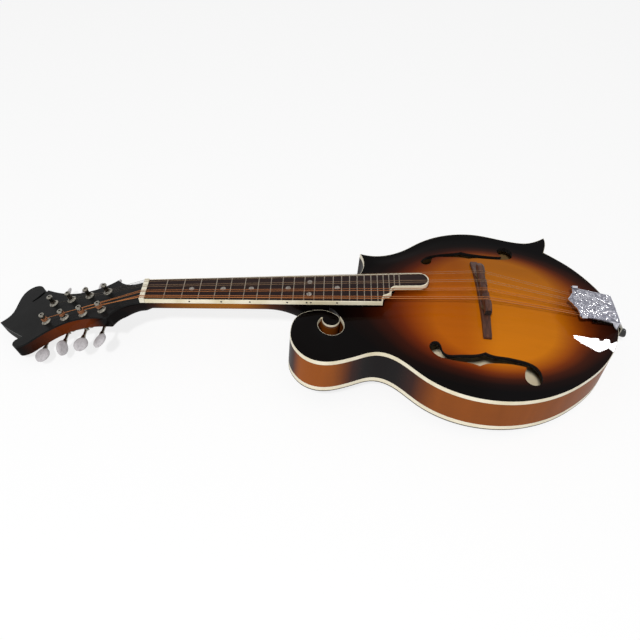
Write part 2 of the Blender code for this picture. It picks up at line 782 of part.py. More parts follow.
def make_back_plate(plate_edge):
    """Back plate: inner face inside the binding, a lip under it, and the carved outside."""
    flat = [(REST_X + 0.011 * math.cos(turn), 0.009 * math.sin(turn))
            for turn in (math.pi / 4.0 * index for index in range(8))]
    grid = [point for point in grid_points(plate_edge, [], PLATE_GRID, 0.0060)
            if math.hypot(point[0] - REST_X, point[1]) > 0.016]
    ledge_z = BACK_EDGE_Z - CLEARANCE
    bm = bmesh.new()
    upper, upper_triangles = triangulate(plate_edge, [], grid)
    upper_z = back_inside(upper)
    upper_verts = [bm.verts.new((x, y, z)) for (x, y), z in zip(upper, upper_z)]
    for a, b, c in upper_triangles:
        bm.faces.new((upper_verts[a], upper_verts[b], upper_verts[c]))
    add_wall(bm, plate_edge, BACK_EDGE_Z + BINDING_HEIGHT, ledge_z)
    ledge, ledge_triangles = triangulate(OUTLINE, [plate_edge])
    ledge_verts = [bm.verts.new((x, y, ledge_z)) for x, y in ledge]
    for a, b, c in ledge_triangles:
        bm.faces.new((ledge_verts[a], ledge_verts[b], ledge_verts[c]))
    add_wall(bm, OUTLINE, ledge_z, BACK_EDGE_Z - BACK_LIP)
    lower, lower_triangles = triangulate(OUTLINE, [], grid + flat + [(REST_X, 0.0)])
    lower_verts = [bm.verts.new((x, y, z)) for (x, y), z in zip(lower, back_rested(lower))]
    for a, b, c in lower_triangles:
        bm.faces.new((lower_verts[c], lower_verts[b], lower_verts[a]))
    MANDOLIN.mesh_object("back_plate", finish_mesh(bm, "back_plate", True), "body", "rim_maple")


def add_wall(bm, loop, high, low):
    count = len(loop)
    top = [bm.verts.new((x, y, high)) for x, y in loop]
    bottom = [bm.verts.new((x, y, low)) for x, y in loop]
    for index in range(count):
        following = (index + 1) % count
        bm.faces.new((top[following], top[index], bottom[index], bottom[following]))


def make_block(name, region, fill):
    """A solid block: the part of the room inside the rim that lies in a plan region."""
    bm = bmesh.new()
    add_slab(bm, region, [], RIM_BOTTOM_Z - 0.01, RIM_TOP_Z + 0.01)
    region_piece = helper(bm, name + "_region", "body")
    block = slab(name, fill, [], RIM_BOTTOM_Z, RIM_TOP_Z, "body", "bare_wood")
    boolean(block, region_piece, "INTERSECT")
    return block


def make_blocks():
    fill = inset(OUTLINE, RIM_WALL + CLEARANCE)
    neck_region = [(SCROLL_LEFT_X - 0.01, 0.0400), (SCROLL_LEFT_X - 0.01, -0.0780), (-0.0020, -0.0780),
                   (NECK_BLOCK_REACH - 0.006, -0.0620), (NECK_BLOCK_REACH, -0.0100),
                   (NECK_BLOCK_REACH - 0.004, 0.0400)]
    neck_block = make_block("neck_block", neck_region, fill)
    bm = bmesh.new()
    add_box(bm, tenon_corner(-1, CLEARANCE, -0.01), tenon_corner(1, CLEARANCE, 0.0))
    mortise = helper(bm, "mortise", "body")
    boolean(neck_block, mortise, "DIFFERENCE")
    boolean(MANDOLIN.pieces["rim"], mortise, "DIFFERENCE")
    upper_x, upper_y = UPPER_POINT
    make_block("upper_point_block", [(upper_x - 0.03, upper_y + 0.02), (upper_x - 0.03, upper_y - 0.021),
                                     (upper_x + 0.008, upper_y - 0.021), (upper_x + 0.020, upper_y + 0.02)],
               fill)
    notch_x, notch_y = LOWER_POINT_NOTCH
    make_block("lower_point_block", [(notch_x - 0.020, notch_y + 0.04), (notch_x - 0.008, notch_y - 0.008),
                                     (notch_x + 0.012, notch_y - 0.018), (notch_x + 0.03, notch_y + 0.04)],
               fill)
    tail_front = BODY_TAIL_X - RIM_WALL - TAIL_BLOCK_LENGTH
    make_block("tail_block", [(tail_front, -TAIL_BLOCK_HALF_WIDTH), (BODY_TAIL_X, -TAIL_BLOCK_HALF_WIDTH),
                              (BODY_TAIL_X, TAIL_BLOCK_HALF_WIDTH), (tail_front, TAIL_BLOCK_HALF_WIDTH)],
               fill)


def tone_bar_y(side, x):
    """Centre line of a tone bar, which leans outwards towards the tail."""
    share = (x - TONE_BAR_START) / (TONE_BAR_END - TONE_BAR_START)
    return side * (TONE_BAR_OFFSET + 0.006 * share)


def make_tone_bars():
    for name, side in (("bass_tone_bar", -1), ("treble_tone_bar", 1)):
        sections = []
        for x in np.linspace(TONE_BAR_START, TONE_BAR_END, 9):
            y = tone_bar_y(side, x)
            share = (x - TONE_BAR_START) / (TONE_BAR_END - TONE_BAR_START)
            depth = 0.003 + (TONE_BAR_DEPTH - 0.003) * math.sin(math.pi * share) ** 0.8
            edges = [(x, y - TONE_BAR_WIDTH / 2.0), (x, y + TONE_BAR_WIDTH / 2.0)]
            high = top_underside(edges) - GLUE_GAP
            low = high.min() - depth
            sections.append([(x, edges[0][1], low), (x, edges[1][1], low),
                             (x, edges[1][1], high[1]), (x, edges[0][1], high[0])])
        loft(name, sections, "body", "bare_wood")


# Neck and headstock

BOARD_UNDER = FINGERBOARD_THICKNESS + CLEARANCE
NECK_END_X = BODY_FRONT_X - CLEARANCE
HEEL_BOTTOM_Z = BACK_EDGE_Z - BACK_LIP


def neck_top(x):
    """Top of the neck under the fingerboard, in the body frame."""
    return fret_plane(x) - BOARD_UNDER / math.cos(math.radians(NECK_ANGLE))


def nut_in_body_x():
    return NECK_IN_BODY.translation.x


def neck_section(x, count=10):
    """One U-shaped section of neck or heel."""
    nut_x = nut_in_body_x()
    share = max(0.0, (x - nut_x) / (NECK_END_X - nut_x))
    along = (x - nut_x) / math.cos(math.radians(NECK_ANGLE))
    heel = smooth_step(max(0.0, (x - HEEL_START_X) / (NECK_END_X - HEEL_START_X))) ** 1.6
    width = min(board_half_width(max(along, 0.0)) + FINGERBOARD_BINDING, 0.05)
    width += (HEEL_TOP_HALF_WIDTH - width) * heel
    depth = NECK_DEPTH_NUT + (NECK_DEPTH_BODY - NECK_DEPTH_NUT) * share
    depth += (neck_top(x) - HEEL_BOTTOM_Z - depth) * heel
    return u_section(x, width, neck_top(x), depth, heel, count)


def u_section(x, width, top, depth, heel=0.0, count=10):
    """Points of a U from one top edge round the underside to the other."""
    points = []
    for index in range(count + 1):
        turn = math.pi * index / count
        across = math.copysign(abs(math.cos(turn)) ** (1.0 - 0.25 * heel), math.cos(turn))
        down = abs(math.sin(turn)) ** (0.9 - 0.35 * heel)
        narrow = 1.0 - heel * (1.0 - HEEL_CAP_HALF_WIDTH / HEEL_TOP_HALF_WIDTH) * down
        points.append((x, width * across * narrow, top - depth * down))
    return points


def head_plane(x, drop):
    """Height in the body frame of the plane that lies a distance below the headstock's face."""
    start = HEAD_IN_BODY @ Vector((0.0, 0.0, -drop))
    along = HEAD_IN_BODY.to_3x3() @ Vector((1.0, 0.0, 0.0))
    return start.z + (x - start.x) * along.z / along.x


def neck_root_sections():
    """The neck's nut end: under the nut, then down into the thickness of the headstock."""
    nut_x = nut_in_body_x()
    width = board_half_width(0.0) + FINGERBOARD_BINDING
    buried = nut_x - 0.0160
    buried_top = head_plane(buried, OVERLAY_THICKNESS)
    buried_depth = buried_top - head_plane(buried, HEAD_THICKNESS - CLEARANCE)
    root = nut_x - NUT_LENGTH
    return [u_section(buried, width * 0.93, buried_top, buried_depth),
            u_section(root, width, neck_top(root), NECK_DEPTH_NUT)]


def tenon_corner(side, gap, extra):
    """Low (-1) or high (1) corner of the tenon's box, grown by a gap."""
    low = (NECK_END_X + extra, -TENON_HALF_WIDTH - gap, RIM_BOTTOM_Z + 0.0040 - gap)
    high = (BODY_FRONT_X + TENON_LENGTH + gap, TENON_HALF_WIDTH + gap, RIM_TOP_Z + extra)
    if side > 0:
        return (high[0], high[1], RIM_TOP_Z - 0.0040 + gap)
    return low


def make_neck():
    nut_x = nut_in_body_x()
    stations = [nut_x, -0.170, -0.110, HEEL_START_X, -0.046, -0.034, -0.025, -0.018, NECK_END_X]
    sections = neck_root_sections() + [neck_section(x) for x in stations]
    neck = loft("neck", sections, "body", "rim_maple", smooth=True)

    core = bmesh.new()
    add_slab(core, head_outline(-NUT_LENGTH), [], -HEAD_THICKNESS, -OVERLAY_THICKNESS / 2.0)
    core.transform(HEAD_IN_BODY)
    boolean(neck, helper(core, "head_core", "body"), "UNION")
    face = bmesh.new()
    add_box(face, (-0.25, -0.08, -OVERLAY_THICKNESS - CLEARANCE), (0.005, 0.08, 0.05))
    face.transform(HEAD_IN_BODY)
    boolean(neck, helper(face, "head_face", "body"), "DIFFERENCE")

    tongue = bmesh.new()
    stations = (NECK_END_X - 0.004, 0.006, 0.018, 0.030, 0.043, TONGUE_END_X)
    under = [max(float(top_surface([(x, 0.0)])[0]), 0.0) + 2.0 * GLUE_GAP for x in stations]
    profile = [(x, z) for x, z in zip(stations, under)]
    profile += [(TONGUE_END_X, neck_top(TONGUE_END_X)), (stations[0], neck_top(stations[0]))]
    add_profile(tongue, profile, -TONGUE_HALF_WIDTH, TONGUE_HALF_WIDTH)
    boolean(neck, helper(tongue, "tongue", "body"), "UNION")

    tenon = bmesh.new()
    add_box(tenon, tenon_corner(-1, 0.0, -0.005), tenon_corner(1, 0.0, 0.0))
    boolean(neck, helper(tenon, "tenon", "body"), "UNION")

    for name, side, row in tuner_rows():
        holes = bmesh.new()
        for index in range(TUNER_COUNT):
            centre = tuner_x(index)
            outline = [(centre + x, row + y) for x, y in round_hole(BUSHING_SLEEVE + CLEARANCE)]
            add_slab(holes, outline, [], -HEAD_THICKNESS - 0.004, 0.002)
        holes.transform(HEAD_IN_BODY)
        boolean(neck, helper(holes, name + "_post_holes", "body"), "DIFFERENCE")

    channel = bmesh.new()
    rod_low, rod_high = truss_rod_box(CLEARANCE)
    add_box(channel, rod_low, (rod_high[0], rod_high[1], 0.0))
    channel.transform(NECK_IN_BODY)
    boolean(neck, helper(channel, "truss_rod_channel", "body"), "DIFFERENCE")
    box("truss_rod", *truss_rod_box(0.0), "neck", "steel")
    return neck


def truss_rod_box(gap):
    """Corners of the truss rod under the fingerboard, in the neck frame."""
    low = (0.012 - gap, -TRUSS_ROD_WIDTH / 2.0 - gap, -BOARD_UNDER - TRUSS_ROD_DEPTH - gap)
    high = (fret_position(12) + gap, TRUSS_ROD_WIDTH / 2.0 + gap, -BOARD_UNDER - CLEARANCE)
    return low, high


def make_overlay():
    """Black face veneer from the nut to the tip."""
    outline = head_outline(-NUT_LENGTH - OVERLAY_NUT_GAP)
    overlay = slab("headstock_overlay", outline, [], -OVERLAY_THICKNESS, 0.0, "head", "black_lacquer")
    for name, side, row in tuner_rows():
        holes = bmesh.new()
        for index in range(TUNER_COUNT):
            outline = [(tuner_x(index) + x, row + y) for x, y in round_hole(BUSHING_SLEEVE + CLEARANCE)]
            add_slab(holes, outline, [], -0.01, 0.01)
        boolean(overlay, helper(holes, name + "_overlay_holes", "head"), "DIFFERENCE")


def make_fingerboard():
    """Board and frets as one solid: a fretted side profile cut to the board's plan."""
    profile = [(-0.01, -FINGERBOARD_THICKNESS), (0.32, -FINGERBOARD_THICKNESS), (0.32, 0.0)]
    for number in range(FRET_COUNT, 0, -1):
        x = fret_position(number)
        profile += [(x + FRET_WIDTH / 2.0, 0.0), (x + FRET_WIDTH / 4.0, FRET_HEIGHT),
                    (x - FRET_WIDTH / 4.0, FRET_HEIGHT), (x - FRET_WIDTH / 2.0, 0.0)]
    profile.append((-0.01, 0.0))
    board = profile_solid("fingerboard", profile, -0.03, 0.03, "neck", "rosewood")
    bm = bmesh.new()
    add_slab(bm, board_outline(0.0), [], -0.02, 0.02)
    boolean(board, helper(bm, "board_plan", "neck"), "INTERSECT")

    inner = board_outline(CLEARANCE)
    outer = board_outline(FINGERBOARD_BINDING + CLEARANCE)
    band = outer + list(reversed(inner))
    slab("fingerboard_binding", band, [], -FINGERBOARD_THICKNESS, 0.0, "neck", "cream")


# Strings

def string_names():
    """The eight strings from the bass side, with their pair's place and their place in the pair."""
    for pair, letter in enumerate("gdae"):
        for member in (0, 1):
            yield f"string_{letter}{member + 1}", letter, pair, member


def string_y(pair, member, spread, gap):
    """Y of a string: four pairs spread evenly, the two strings of a pair a gap apart."""
    return -spread / 2.0 + spread * pair / 3.0 + (member - 0.5) * gap


def nut_crown():
    """Height of the string bed on the nut above the fret plane."""
    return NUT_RISE - 0.0004


def string_height_at_bridge():
    return fret_plane(BRIDGE_X) + ACTION_AT_BRIDGE


def make_nut():
    half = board_half_width(0.0) + FINGERBOARD_BINDING
    nut = box("nut", (-NUT_LENGTH, -half, -FINGERBOARD_THICKNESS), (-CLEARANCE, half, NUT_RISE), "neck", "cream")
    slots = bmesh.new()
    for _, letter, pair, member in string_names():
        wide = STRING_DIAMETERS[letter] / 2.0 + CLEARANCE
        y = string_y(pair, member, PAIR_SPREAD_NUT, PAIR_GAP_NUT)
        add_box(slots, (-0.01, y - wide, nut_crown() - CLEARANCE), (0.01, y + wide, 0.01))
    boolean(nut, helper(slots, "nut_slots", "neck"), "DIFFERENCE")


# Bridge

def base_top(y):
    """Top of the bridge base in the body frame."""
    share = smooth_step(1.0 - (abs(y) - SADDLE_HALF_LENGTH * 0.85) / (BRIDGE_BASE_HALF_LENGTH * 0.35))
    thick = BRIDGE_FOOT_THICKNESS + (BRIDGE_BASE_THICKNESS - BRIDGE_FOOT_THICKNESS) * share
    return float(top_surface([(BRIDGE_X, min(abs(y), BRIDGE_BASE_HALF_LENGTH))])[0]) + thick


def wheel_low():
    """Underside of the thumbwheels, which stand on the base at rest."""
    return base_top(STUD_Y) + CLEARANCE


def saddle_low():
    """Underside of the saddle, which rests on the thumbwheels."""
    return wheel_low() + WHEEL_THICKNESS + CLEARANCE


def make_bridge():
    sections = []
    for y in np.linspace(-BRIDGE_BASE_HALF_LENGTH, BRIDGE_BASE_HALF_LENGTH, 13):
        low = float(top_surface([(BRIDGE_X, y)])[0]) + GLUE_GAP
        half = BRIDGE_WIDTH / 2.0
        top = base_top(y)
        sections.append([(BRIDGE_X - half, y, low), (BRIDGE_X + half, y, low), (BRIDGE_X + half, y, top - 0.001),
                         (BRIDGE_X + half - 0.001, y, top), (BRIDGE_X - half + 0.001, y, top),
                         (BRIDGE_X - half, y, top - 0.001)])
    base = loft("bridge_base", sections, "body", "rosewood")

    top = string_height_at_bridge()
    low = saddle_low()
    saddle = make_saddle(low, top)
    for name, side in (("bass", -1), ("treble", 1)):
        y = side * STUD_Y
        stud_low = base_top(STUD_Y) - STUD_ENGAGEMENT
        bore = bmesh.new()
        add_turned(bore, [(STUD_RADIUS + CLEARANCE, -CLEARANCE), (STUD_RADIUS + CLEARANCE, 0.02)], 10)
        boolean(base, helper(bore, name + "_base_bore", "body", (BRIDGE_X, y, stud_low)), "DIFFERENCE")
        stud_top = low + STUD_ENGAGEMENT
        turned("bridge_stud_" + name, [(STUD_RADIUS, 0.0), (STUD_RADIUS, stud_top - stud_low)], 10,
               "body", "chrome", (BRIDGE_X, y, stud_low))
        hole = bmesh.new()
        add_turned(hole, [(STUD_RADIUS + CLEARANCE, -0.002), (STUD_RADIUS + CLEARANCE,
                                                              STUD_ENGAGEMENT + CLEARANCE)], 10)
        boolean(saddle, helper(hole, name + "_saddle_bore", "body", (BRIDGE_X, y, low)), "DIFFERENCE")
        wheel_profile = [(STUD_RADIUS + CLEARANCE, 0.0), (WHEEL_RADIUS - 0.0004, 0.0),
                         (WHEEL_RADIUS, WHEEL_THICKNESS / 2.0), (WHEEL_RADIUS - 0.0004, WHEEL_THICKNESS),
                         (STUD_RADIUS + CLEARANCE, WHEEL_THICKNESS)]
        turned("thumbwheel_" + name, wheel_profile, WHEEL_SEGMENTS, "body", "chrome",
               (BRIDGE_X, y, wheel_low()), bored=True)


def make_saddle(low, top):
    """Height-adjustable saddle: a bar that narrows to the string edge, slotted for the strings."""
    sections = []
    crown = top - CLEARANCE
    for y in np.linspace(-SADDLE_HALF_LENGTH, SADDLE_HALF_LENGTH, 9):
        end = abs(y) / SADDLE_HALF_LENGTH
        height = crown if end < 0.8 else crown - 0.0030 * ((end - 0.8) / 0.2)
        wide, narrow = SADDLE_WIDTH / 2.0, SADDLE_TOP_WIDTH / 2.0
        waist = low + (crown - low) * 0.45
        sections.append([(BRIDGE_X - wide, y, low), (BRIDGE_X + wide, y, low), (BRIDGE_X + wide, y, waist),
                         (BRIDGE_X + narrow, y, height), (BRIDGE_X - narrow, y, height),
                         (BRIDGE_X - wide, y, waist)])
    saddle = loft("bridge_saddle", sections, "body", "rosewood")
    slots = bmesh.new()
    for _, letter, pair, member in string_names():
        radius = STRING_DIAMETERS[letter] / 2.0
        y = string_y(pair, member, PAIR_SPREAD_BRIDGE, PAIR_GAP_BRIDGE)
        add_box(slots, (BRIDGE_X - 0.01, y - radius - CLEARANCE, top - radius - CLEARANCE - 0.0002),
                (BRIDGE_X + 0.01, y + radius + CLEARANCE, top + 0.01))
    boolean(saddle, helper(slots, "saddle_slots", "body"), "DIFFERENCE")
    return saddle


# Tailpiece

def cover_top(x):
    """Outer face of the tailpiece cover, falling towards the tail."""
    share = (x - TAILPIECE_FRONT_X) / (TAILPIECE_REAR_X - TAILPIECE_FRONT_X)
    return TAILPIECE_FRONT_Z + (TAILPIECE_REAR_Z - TAILPIECE_FRONT_Z) * share


def cover_outline():
    """Plan of the cover: pointed scalloped front, straight sides narrowing to the fold at the tail."""
    rear = TAILPIECE_REAR_X + 0.0015
    half = [
        (TAILPIECE_FRONT_X, 0.0, 120.0, 60.0),
        (TAILPIECE_FRONT_X + 0.0060, 0.0095, 75.0, 20.0),
        (TAILPIECE_EAR_X - 0.0010, TAILPIECE_EAR_Y - 0.0055, 60.0, 120.0),
        smooth_key(TAILPIECE_EAR_X, TAILPIECE_EAR_Y, 20.0),
        (TAILPIECE_EAR_X + 0.0060, TAILPIECE_EAR_Y - 0.0022, -40.0, -3.0),
        (rear, TAILPIECE_REAR_Y, -3.0, -90.0),
    ]
    upper = trace(half, 30.0, 0.05, closed=False)
    return [(x, -y) for x, y in upper[1:]] + [(x, y) for x, y in reversed(upper)]


def make_tailpiece():
    bm = bmesh.new()
    outline = cover_outline()
    ridge = [(TAILPIECE_EAR_X + 0.004 + 0.012 * index, side * 0.0115)
             for index in range(4) for side in (-1, 1)]

    def outside(points):
        points = as_array(points)
        crown = 0.0012 * np.clip(1.0 - (points[:, 1] / TAILPIECE_REAR_Y) ** 2, 0.0, 1.0)
        return cover_top(points[:, 0]) + crown

    def inside(points):
        return outside(points) - TAILPIECE_SHEET

    add_slab(bm, outline, [], inside, outside, ridge)
    cover = MANDOLIN.mesh_object("tailpiece_cover", finish_mesh(bm, "tailpiece_cover", True), "body", "chrome")
    apron = bmesh.new()
    rear_x = TAILPIECE_REAR_X + 0.0015
    fold = [(rear_x - 0.0012, cover_top(rear_x)), (rear_x - 0.0012, cover_top(rear_x) - 0.0010),
            (BODY_TAIL_X + BRACKET_SHEET + 0.0010, 0.0020), (BODY_TAIL_X + BRACKET_SHEET + 0.0010, -0.0080),
            (BODY_TAIL_X + BRACKET_SHEET + 0.0010 + TAILPIECE_SHEET, -0.0080),
            (BODY_TAIL_X + BRACKET_SHEET + 0.0010 + TAILPIECE_SHEET, 0.0040),
            (rear_x + 0.0010, cover_top(rear_x) - 0.0002)]
    add_profile(apron, fold, -TAILPIECE_REAR_Y + 0.0002, TAILPIECE_REAR_Y - 0.0002)
    boolean(cover, helper(apron, "cover_apron", "body"), "UNION")

    make_bracket()
    pin_z = (RIM_TOP_Z + RIM_BOTTOM_Z) / 2.0
    make_end_pin(pin_z)


def bracket_profile():
    """Side view of the bent bracket: shelf under the cover, leg down the tail."""
    leg_x = BODY_TAIL_X + GLUE_GAP
    shelf_rear = cover_top(TAILPIECE_REAR_X) - TAILPIECE_SHEET - 0.0040
    shelf_front = cover_top(BRACKET_FRONT_X) - TAILPIECE_SHEET - 0.0078
    sheet = BRACKET_SHEET
    return [(BRACKET_FRONT_X, shelf_front - sheet), (TAILPIECE_REAR_X - 0.002, shelf_rear - sheet),
            (leg_x, shelf_rear - 0.0060), (leg_x, -BRACKET_LEG), (leg_x + sheet, -BRACKET_LEG),
            (leg_x + sheet, shelf_rear - 0.0050), (TAILPIECE_REAR_X - 0.0015, shelf_rear),
            (BRACKET_FRONT_X, shelf_front)]


def shelf_height(x):
    """Upper face of the bracket's shelf."""
    profile = bracket_profile()
    (front_x, front_z), (rear_x, rear_z) = profile[7], profile[6]
    return front_z + (rear_z - front_z) * (x - front_x) / (rear_x - front_x)


def make_bracket():
    bracket = profile_solid("tailpiece_bracket", bracket_profile(), -BRACKET_HALF_WIDTH, BRACKET_HALF_WIDTH,
                            "body", "chrome")
    hooks = bmesh.new()
    low = shelf_height(HOOK_X)
    for _, letter, pair, member in string_names():
        y = string_y(pair, member, PAIR_SPREAD_TAIL, PAIR_GAP_BRIDGE)
        hook = [(HOOK_X + 0.0006, low - 0.0010), (HOOK_X + 0.0020, low - 0.0010),
                (HOOK_X + 0.0020, low + HOOK_HEIGHT), (HOOK_X + 0.0006, low + HOOK_HEIGHT)]
        add_profile(hooks, hook, y - 0.0008, y + 0.0008)
    boolean(bracket, helper(hooks, "string_hooks", "body"), "UNION")
    bore = bmesh.new()
    add_turned(bore, [(END_PIN_STEM + CLEARANCE, -0.03), (END_PIN_STEM + CLEARANCE, 0.03)], 12, "y")
    bore.transform(Matrix.Rotation(math.radians(90.0), 4, "Z"))
    hole = helper(bore, "pin_bore", "body", (BODY_TAIL_X, 0.0, (RIM_TOP_Z + RIM_BOTTOM_Z) / 2.0))
    for name in ("tailpiece_bracket", "rim", "tail_block"):
        boolean(MANDOLIN.pieces[name], hole, "DIFFERENCE")


def make_end_pin(z):
    """Strap button through bracket, rim and tail block, with a flat outer end."""
    start = GLUE_GAP + BRACKET_SHEET + CLEARANCE
    profile = [(END_PIN_STEM, -END_PIN_DEPTH), (END_PIN_STEM, start), (END_PIN_RADIUS, start),
               (END_PIN_RADIUS * 0.72, start + END_PIN_LENGTH * 0.45),
               (END_PIN_RADIUS, start + END_PIN_LENGTH * 0.85), (END_PIN_RADIUS * 0.85, start + END_PIN_LENGTH)]
    bm = bmesh.new()
    add_turned(bm, profile, 16, "y")
    bm.transform(Matrix.Rotation(math.radians(-90.0), 4, "Z"))
    mesh = finish_mesh(bm, "end_pin", True)
    MANDOLIN.mesh_object("end_pin", mesh, "body", "black_lacquer", (BODY_TAIL_X, 0.0, z))


# Tuners

def row_y(side):
    """Y of a row of posts in the head frame; side is -1 for bass and 1 for treble."""
    return -TUNER_ROW_BASS if side < 0 else TUNER_ROW_TREBLE


def tuner_rows():
    yield "bass", -1, row_y(-1)
    yield "treble", 1, row_y(1)


def round_hole(radius, count=8):
    """A hole's outline whose flats clear a shaft of the given radius."""
    reach = radius / math.cos(math.pi / count)
    return [(x, y) for x, y, _ in ring_points(reach, 0.0, count)]


def tuner_x(index):
    """Place of a post in the head frame; index 0 is next to the nut."""
    return -(TUNER_FIRST + TUNER_SPACING * index)


PLATE_TOP_Z = -HEAD_THICKNESS - CLEARANCE
PLATE_LOW_Z = PLATE_TOP_Z - TUNER_PLATE_THICKNESS
GEAR_TOP_Z = PLATE_LOW_Z - CLEARANCE
SHAFT_Z = GEAR_TOP_Z - GEAR_LENGTH / 2.0
WORM_OFFSET = GEAR_RADIUS + WORM_RADIUS + CLEARANCE


def tuner_post(name, row, index):
    """String post with its gear below the plate, turning on its own axis."""
    bm = bmesh.new()
    count = POST_SEGMENTS
    profile = [(GEAR_RADIUS - GEAR_TOOTH_DEPTH - CLEARANCE, GEAR_TOP_Z), (POST_RADIUS, GEAR_TOP_Z + 0.0006),
               (POST_RADIUS, POST_WAIST_LOW - 0.0006), (POST_WAIST_RADIUS, POST_WAIST_LOW),
               (POST_WAIST_RADIUS, POST_WAIST_HIGH), (POST_RADIUS, POST_WAIST_HIGH + 0.0003),
               (POST_RADIUS * 0.88, POST_HEIGHT)]
    rings = [[bm.verts.new(point) for point in ring_points(radius, height, count)]
             for radius, height in profile]
    for first, second in zip(rings, rings[1:]):
        for place in range(count):
            following = (place + 1) % count
            bm.faces.new((first[place], first[following], second[following], second[place]))
    bm.faces.new(rings[-1])
    gear_rings = []
    for height in (GEAR_TOP_Z, GEAR_TOP_Z - GEAR_LENGTH):
        ring = []
        for place in range(2 * GEAR_TEETH):
            turn = math.pi * place / GEAR_TEETH
            radius = GEAR_RADIUS - (GEAR_TOOTH_DEPTH if place % 2 else 0.0)
            ring.append(bm.verts.new((radius * math.cos(turn), radius * math.sin(turn), height)))
        gear_rings.append(ring)
    upper, lower = gear_rings
    total = 2 * GEAR_TEETH
    for place in range(total):
        following = (place + 1) % total
        bm.faces.new((upper[place], upper[following], lower[following], lower[place]))
    bm.faces.new(lower)
    shank = rings[0]
    for place in range(count):
        following = (place + 1) % count
        bm.faces.new((shank[place], upper[2 * place], upper[2 * place + 1], upper[(2 * place + 2) % total],
                      shank[following]))
    post = MANDOLIN.mesh_object(name, finish_mesh(bm, name, True), "head", "chrome",
                                (tuner_x(index), row, 0.0))
    return post


def tuner_shaft(name, side, row, index):
    """Worm, shaft and button of one tuner, turning on the shaft's axis."""
    bm = bmesh.new()
    inner = -WORM_LENGTH / 2.0 - BEARING_THICKNESS - 0.0012
    outer = WORM_LENGTH / 2.0
    centre = (BUTTON_CENTRE_TIP if index == TUNER_COUNT - 1 else BUTTON_CENTRE) - abs(row)
    collar = outer + BEARING_THICKNESS + 2.0 * CLEARANCE
    neck = centre - BUTTON_LENGTH
    profile = [(WORM_SHAFT_RADIUS, inner), (WORM_SHAFT_RADIUS, -outer + CLEARANCE),
               (WORM_RADIUS, -outer + CLEARANCE), (WORM_RADIUS, outer - CLEARANCE),
               (WORM_SHAFT_RADIUS, outer - CLEARANCE), (WORM_SHAFT_RADIUS, collar),
               (WORM_SHAFT_RADIUS * 1.5, collar), (WORM_SHAFT_RADIUS * 1.3, neck)]
    count = 8
    for share in (0.12, 0.35, 0.65, 0.88, 1.0):
        profile.append((None, share))
    rings = []
    for radius, height in profile:
        ring = []
        for place in range(count):
            turn = 2.0 * math.pi * (place + 0.5) / count
            if radius is None:
                reach = math.sin(math.pi * (0.06 + 0.88 * height)) ** 0.6
                point = (BUTTON_WIDTH * reach * math.cos(turn), neck + 2.0 * BUTTON_LENGTH * height,
                         BUTTON_THICKNESS * reach * math.sin(turn))
            else:
                point = (radius * math.cos(turn), height, radius * math.sin(turn))
            ring.append(bm.verts.new((point[0], side * point[1], point[2])))
        rings.append(ring)
    for first, second in zip(rings, rings[1:]):
        for place in range(count):
            following = (place + 1) % count
            bm.faces.new((first[place], first[following], second[following], second[place]))
    bm.faces.new(rings[0])
    bm.faces.new(rings[-1])
    MANDOLIN.mesh_object(name, finish_mesh(bm, name, True), "head", "pearl",
                         (tuner_x(index) - WORM_OFFSET, row, SHAFT_Z))


def tuner_plate(name, row):
    """Base plate of four tuners with the bearings of their worms."""
    half = TUNER_PLATE_HALF_WIDTH
    end = tuner_x(TUNER_COUNT - 1) - TUNER_PLATE_MARGIN
    start = tuner_x(0) + TUNER_PLATE_MARGIN - 0.002
    plate = box(name, (end, row - half, PLATE_LOW_Z), (start, row + half, PLATE_TOP_Z), "head", "chrome")
    lugs = bmesh.new()
    holes = bmesh.new()
    for index in range(TUNER_COUNT):
        x = tuner_x(index)
        for side in (-1, 1):
            inner = row + side * (WORM_LENGTH / 2.0 + CLEARANCE)
            outer = inner + side * BEARING_THICKNESS
            add_box(lugs, (x - WORM_OFFSET - 0.0024, min(inner, outer), SHAFT_Z - 0.0022),
                    (x - WORM_OFFSET + 0.0012 + WORM_SHAFT_RADIUS, max(inner, outer), PLATE_LOW_Z + 0.0004))
        add_slab(holes, [(x + px, row + py) for px, py in round_hole(POST_RADIUS + CLEARANCE)], [],
                 PLATE_LOW_Z - 0.0002, 0.0)
    boolean(plate, helper(lugs, name + "_lugs", "head"), "UNION")
    boolean(plate, helper(holes, name + "_holes", "head"), "DIFFERENCE")
    bores = bmesh.new()
    for index in range(TUNER_COUNT):
        bore = bmesh.new()
        reach = (WORM_SHAFT_RADIUS + CLEARANCE) / math.cos(math.pi / 6.0)
        add_turned(bore, [(reach, row - half - 0.002), (reach, row + half + 0.002)], 6, "y")
        bore.transform(Matrix.Translation((tuner_x(index) - WORM_OFFSET, 0.0, SHAFT_Z)))
        piece = bpy.data.meshes.new("bore")
        bore.to_mesh(piece)
        bore.free()
        bores.from_mesh(piece)
        bpy.data.meshes.remove(piece)
    boolean(plate, helper(bores, name + "_bores", "head"), "DIFFERENCE")


def make_tuners():
    for label, side, row in tuner_rows():
        tuner_plate(f"tuner_plate_{label}", row)
        for index in range(TUNER_COUNT):
            number = index + 1
            tuner_post(f"tuner_post_{label}_{number}", row, index)
            tuner_shaft(f"tuner_button_{label}_{number}", side, row, index)
            bore = POST_RADIUS + CLEARANCE
            profile = [(bore, -BUSHING_DEPTH), (BUSHING_SLEEVE, -BUSHING_DEPTH), (BUSHING_SLEEVE, CLEARANCE),
                       (BUSHING_RADIUS, CLEARANCE), (bore, BUSHING_RIM)]
            turned(f"bushing_{label}_{number}", profile, POST_SEGMENTS, "head", "chrome",
                   (tuner_x(index), row, 0.0), bored=True)


# String routes

def post_of(letter, member):
    """Row and index of the post that a string winds on."""
    if letter == "g":
        return -1, member
    if letter == "d":
        return -1, 2 + member
    if letter == "a":
        return 1, 3 - member
    return 1, 1 - member


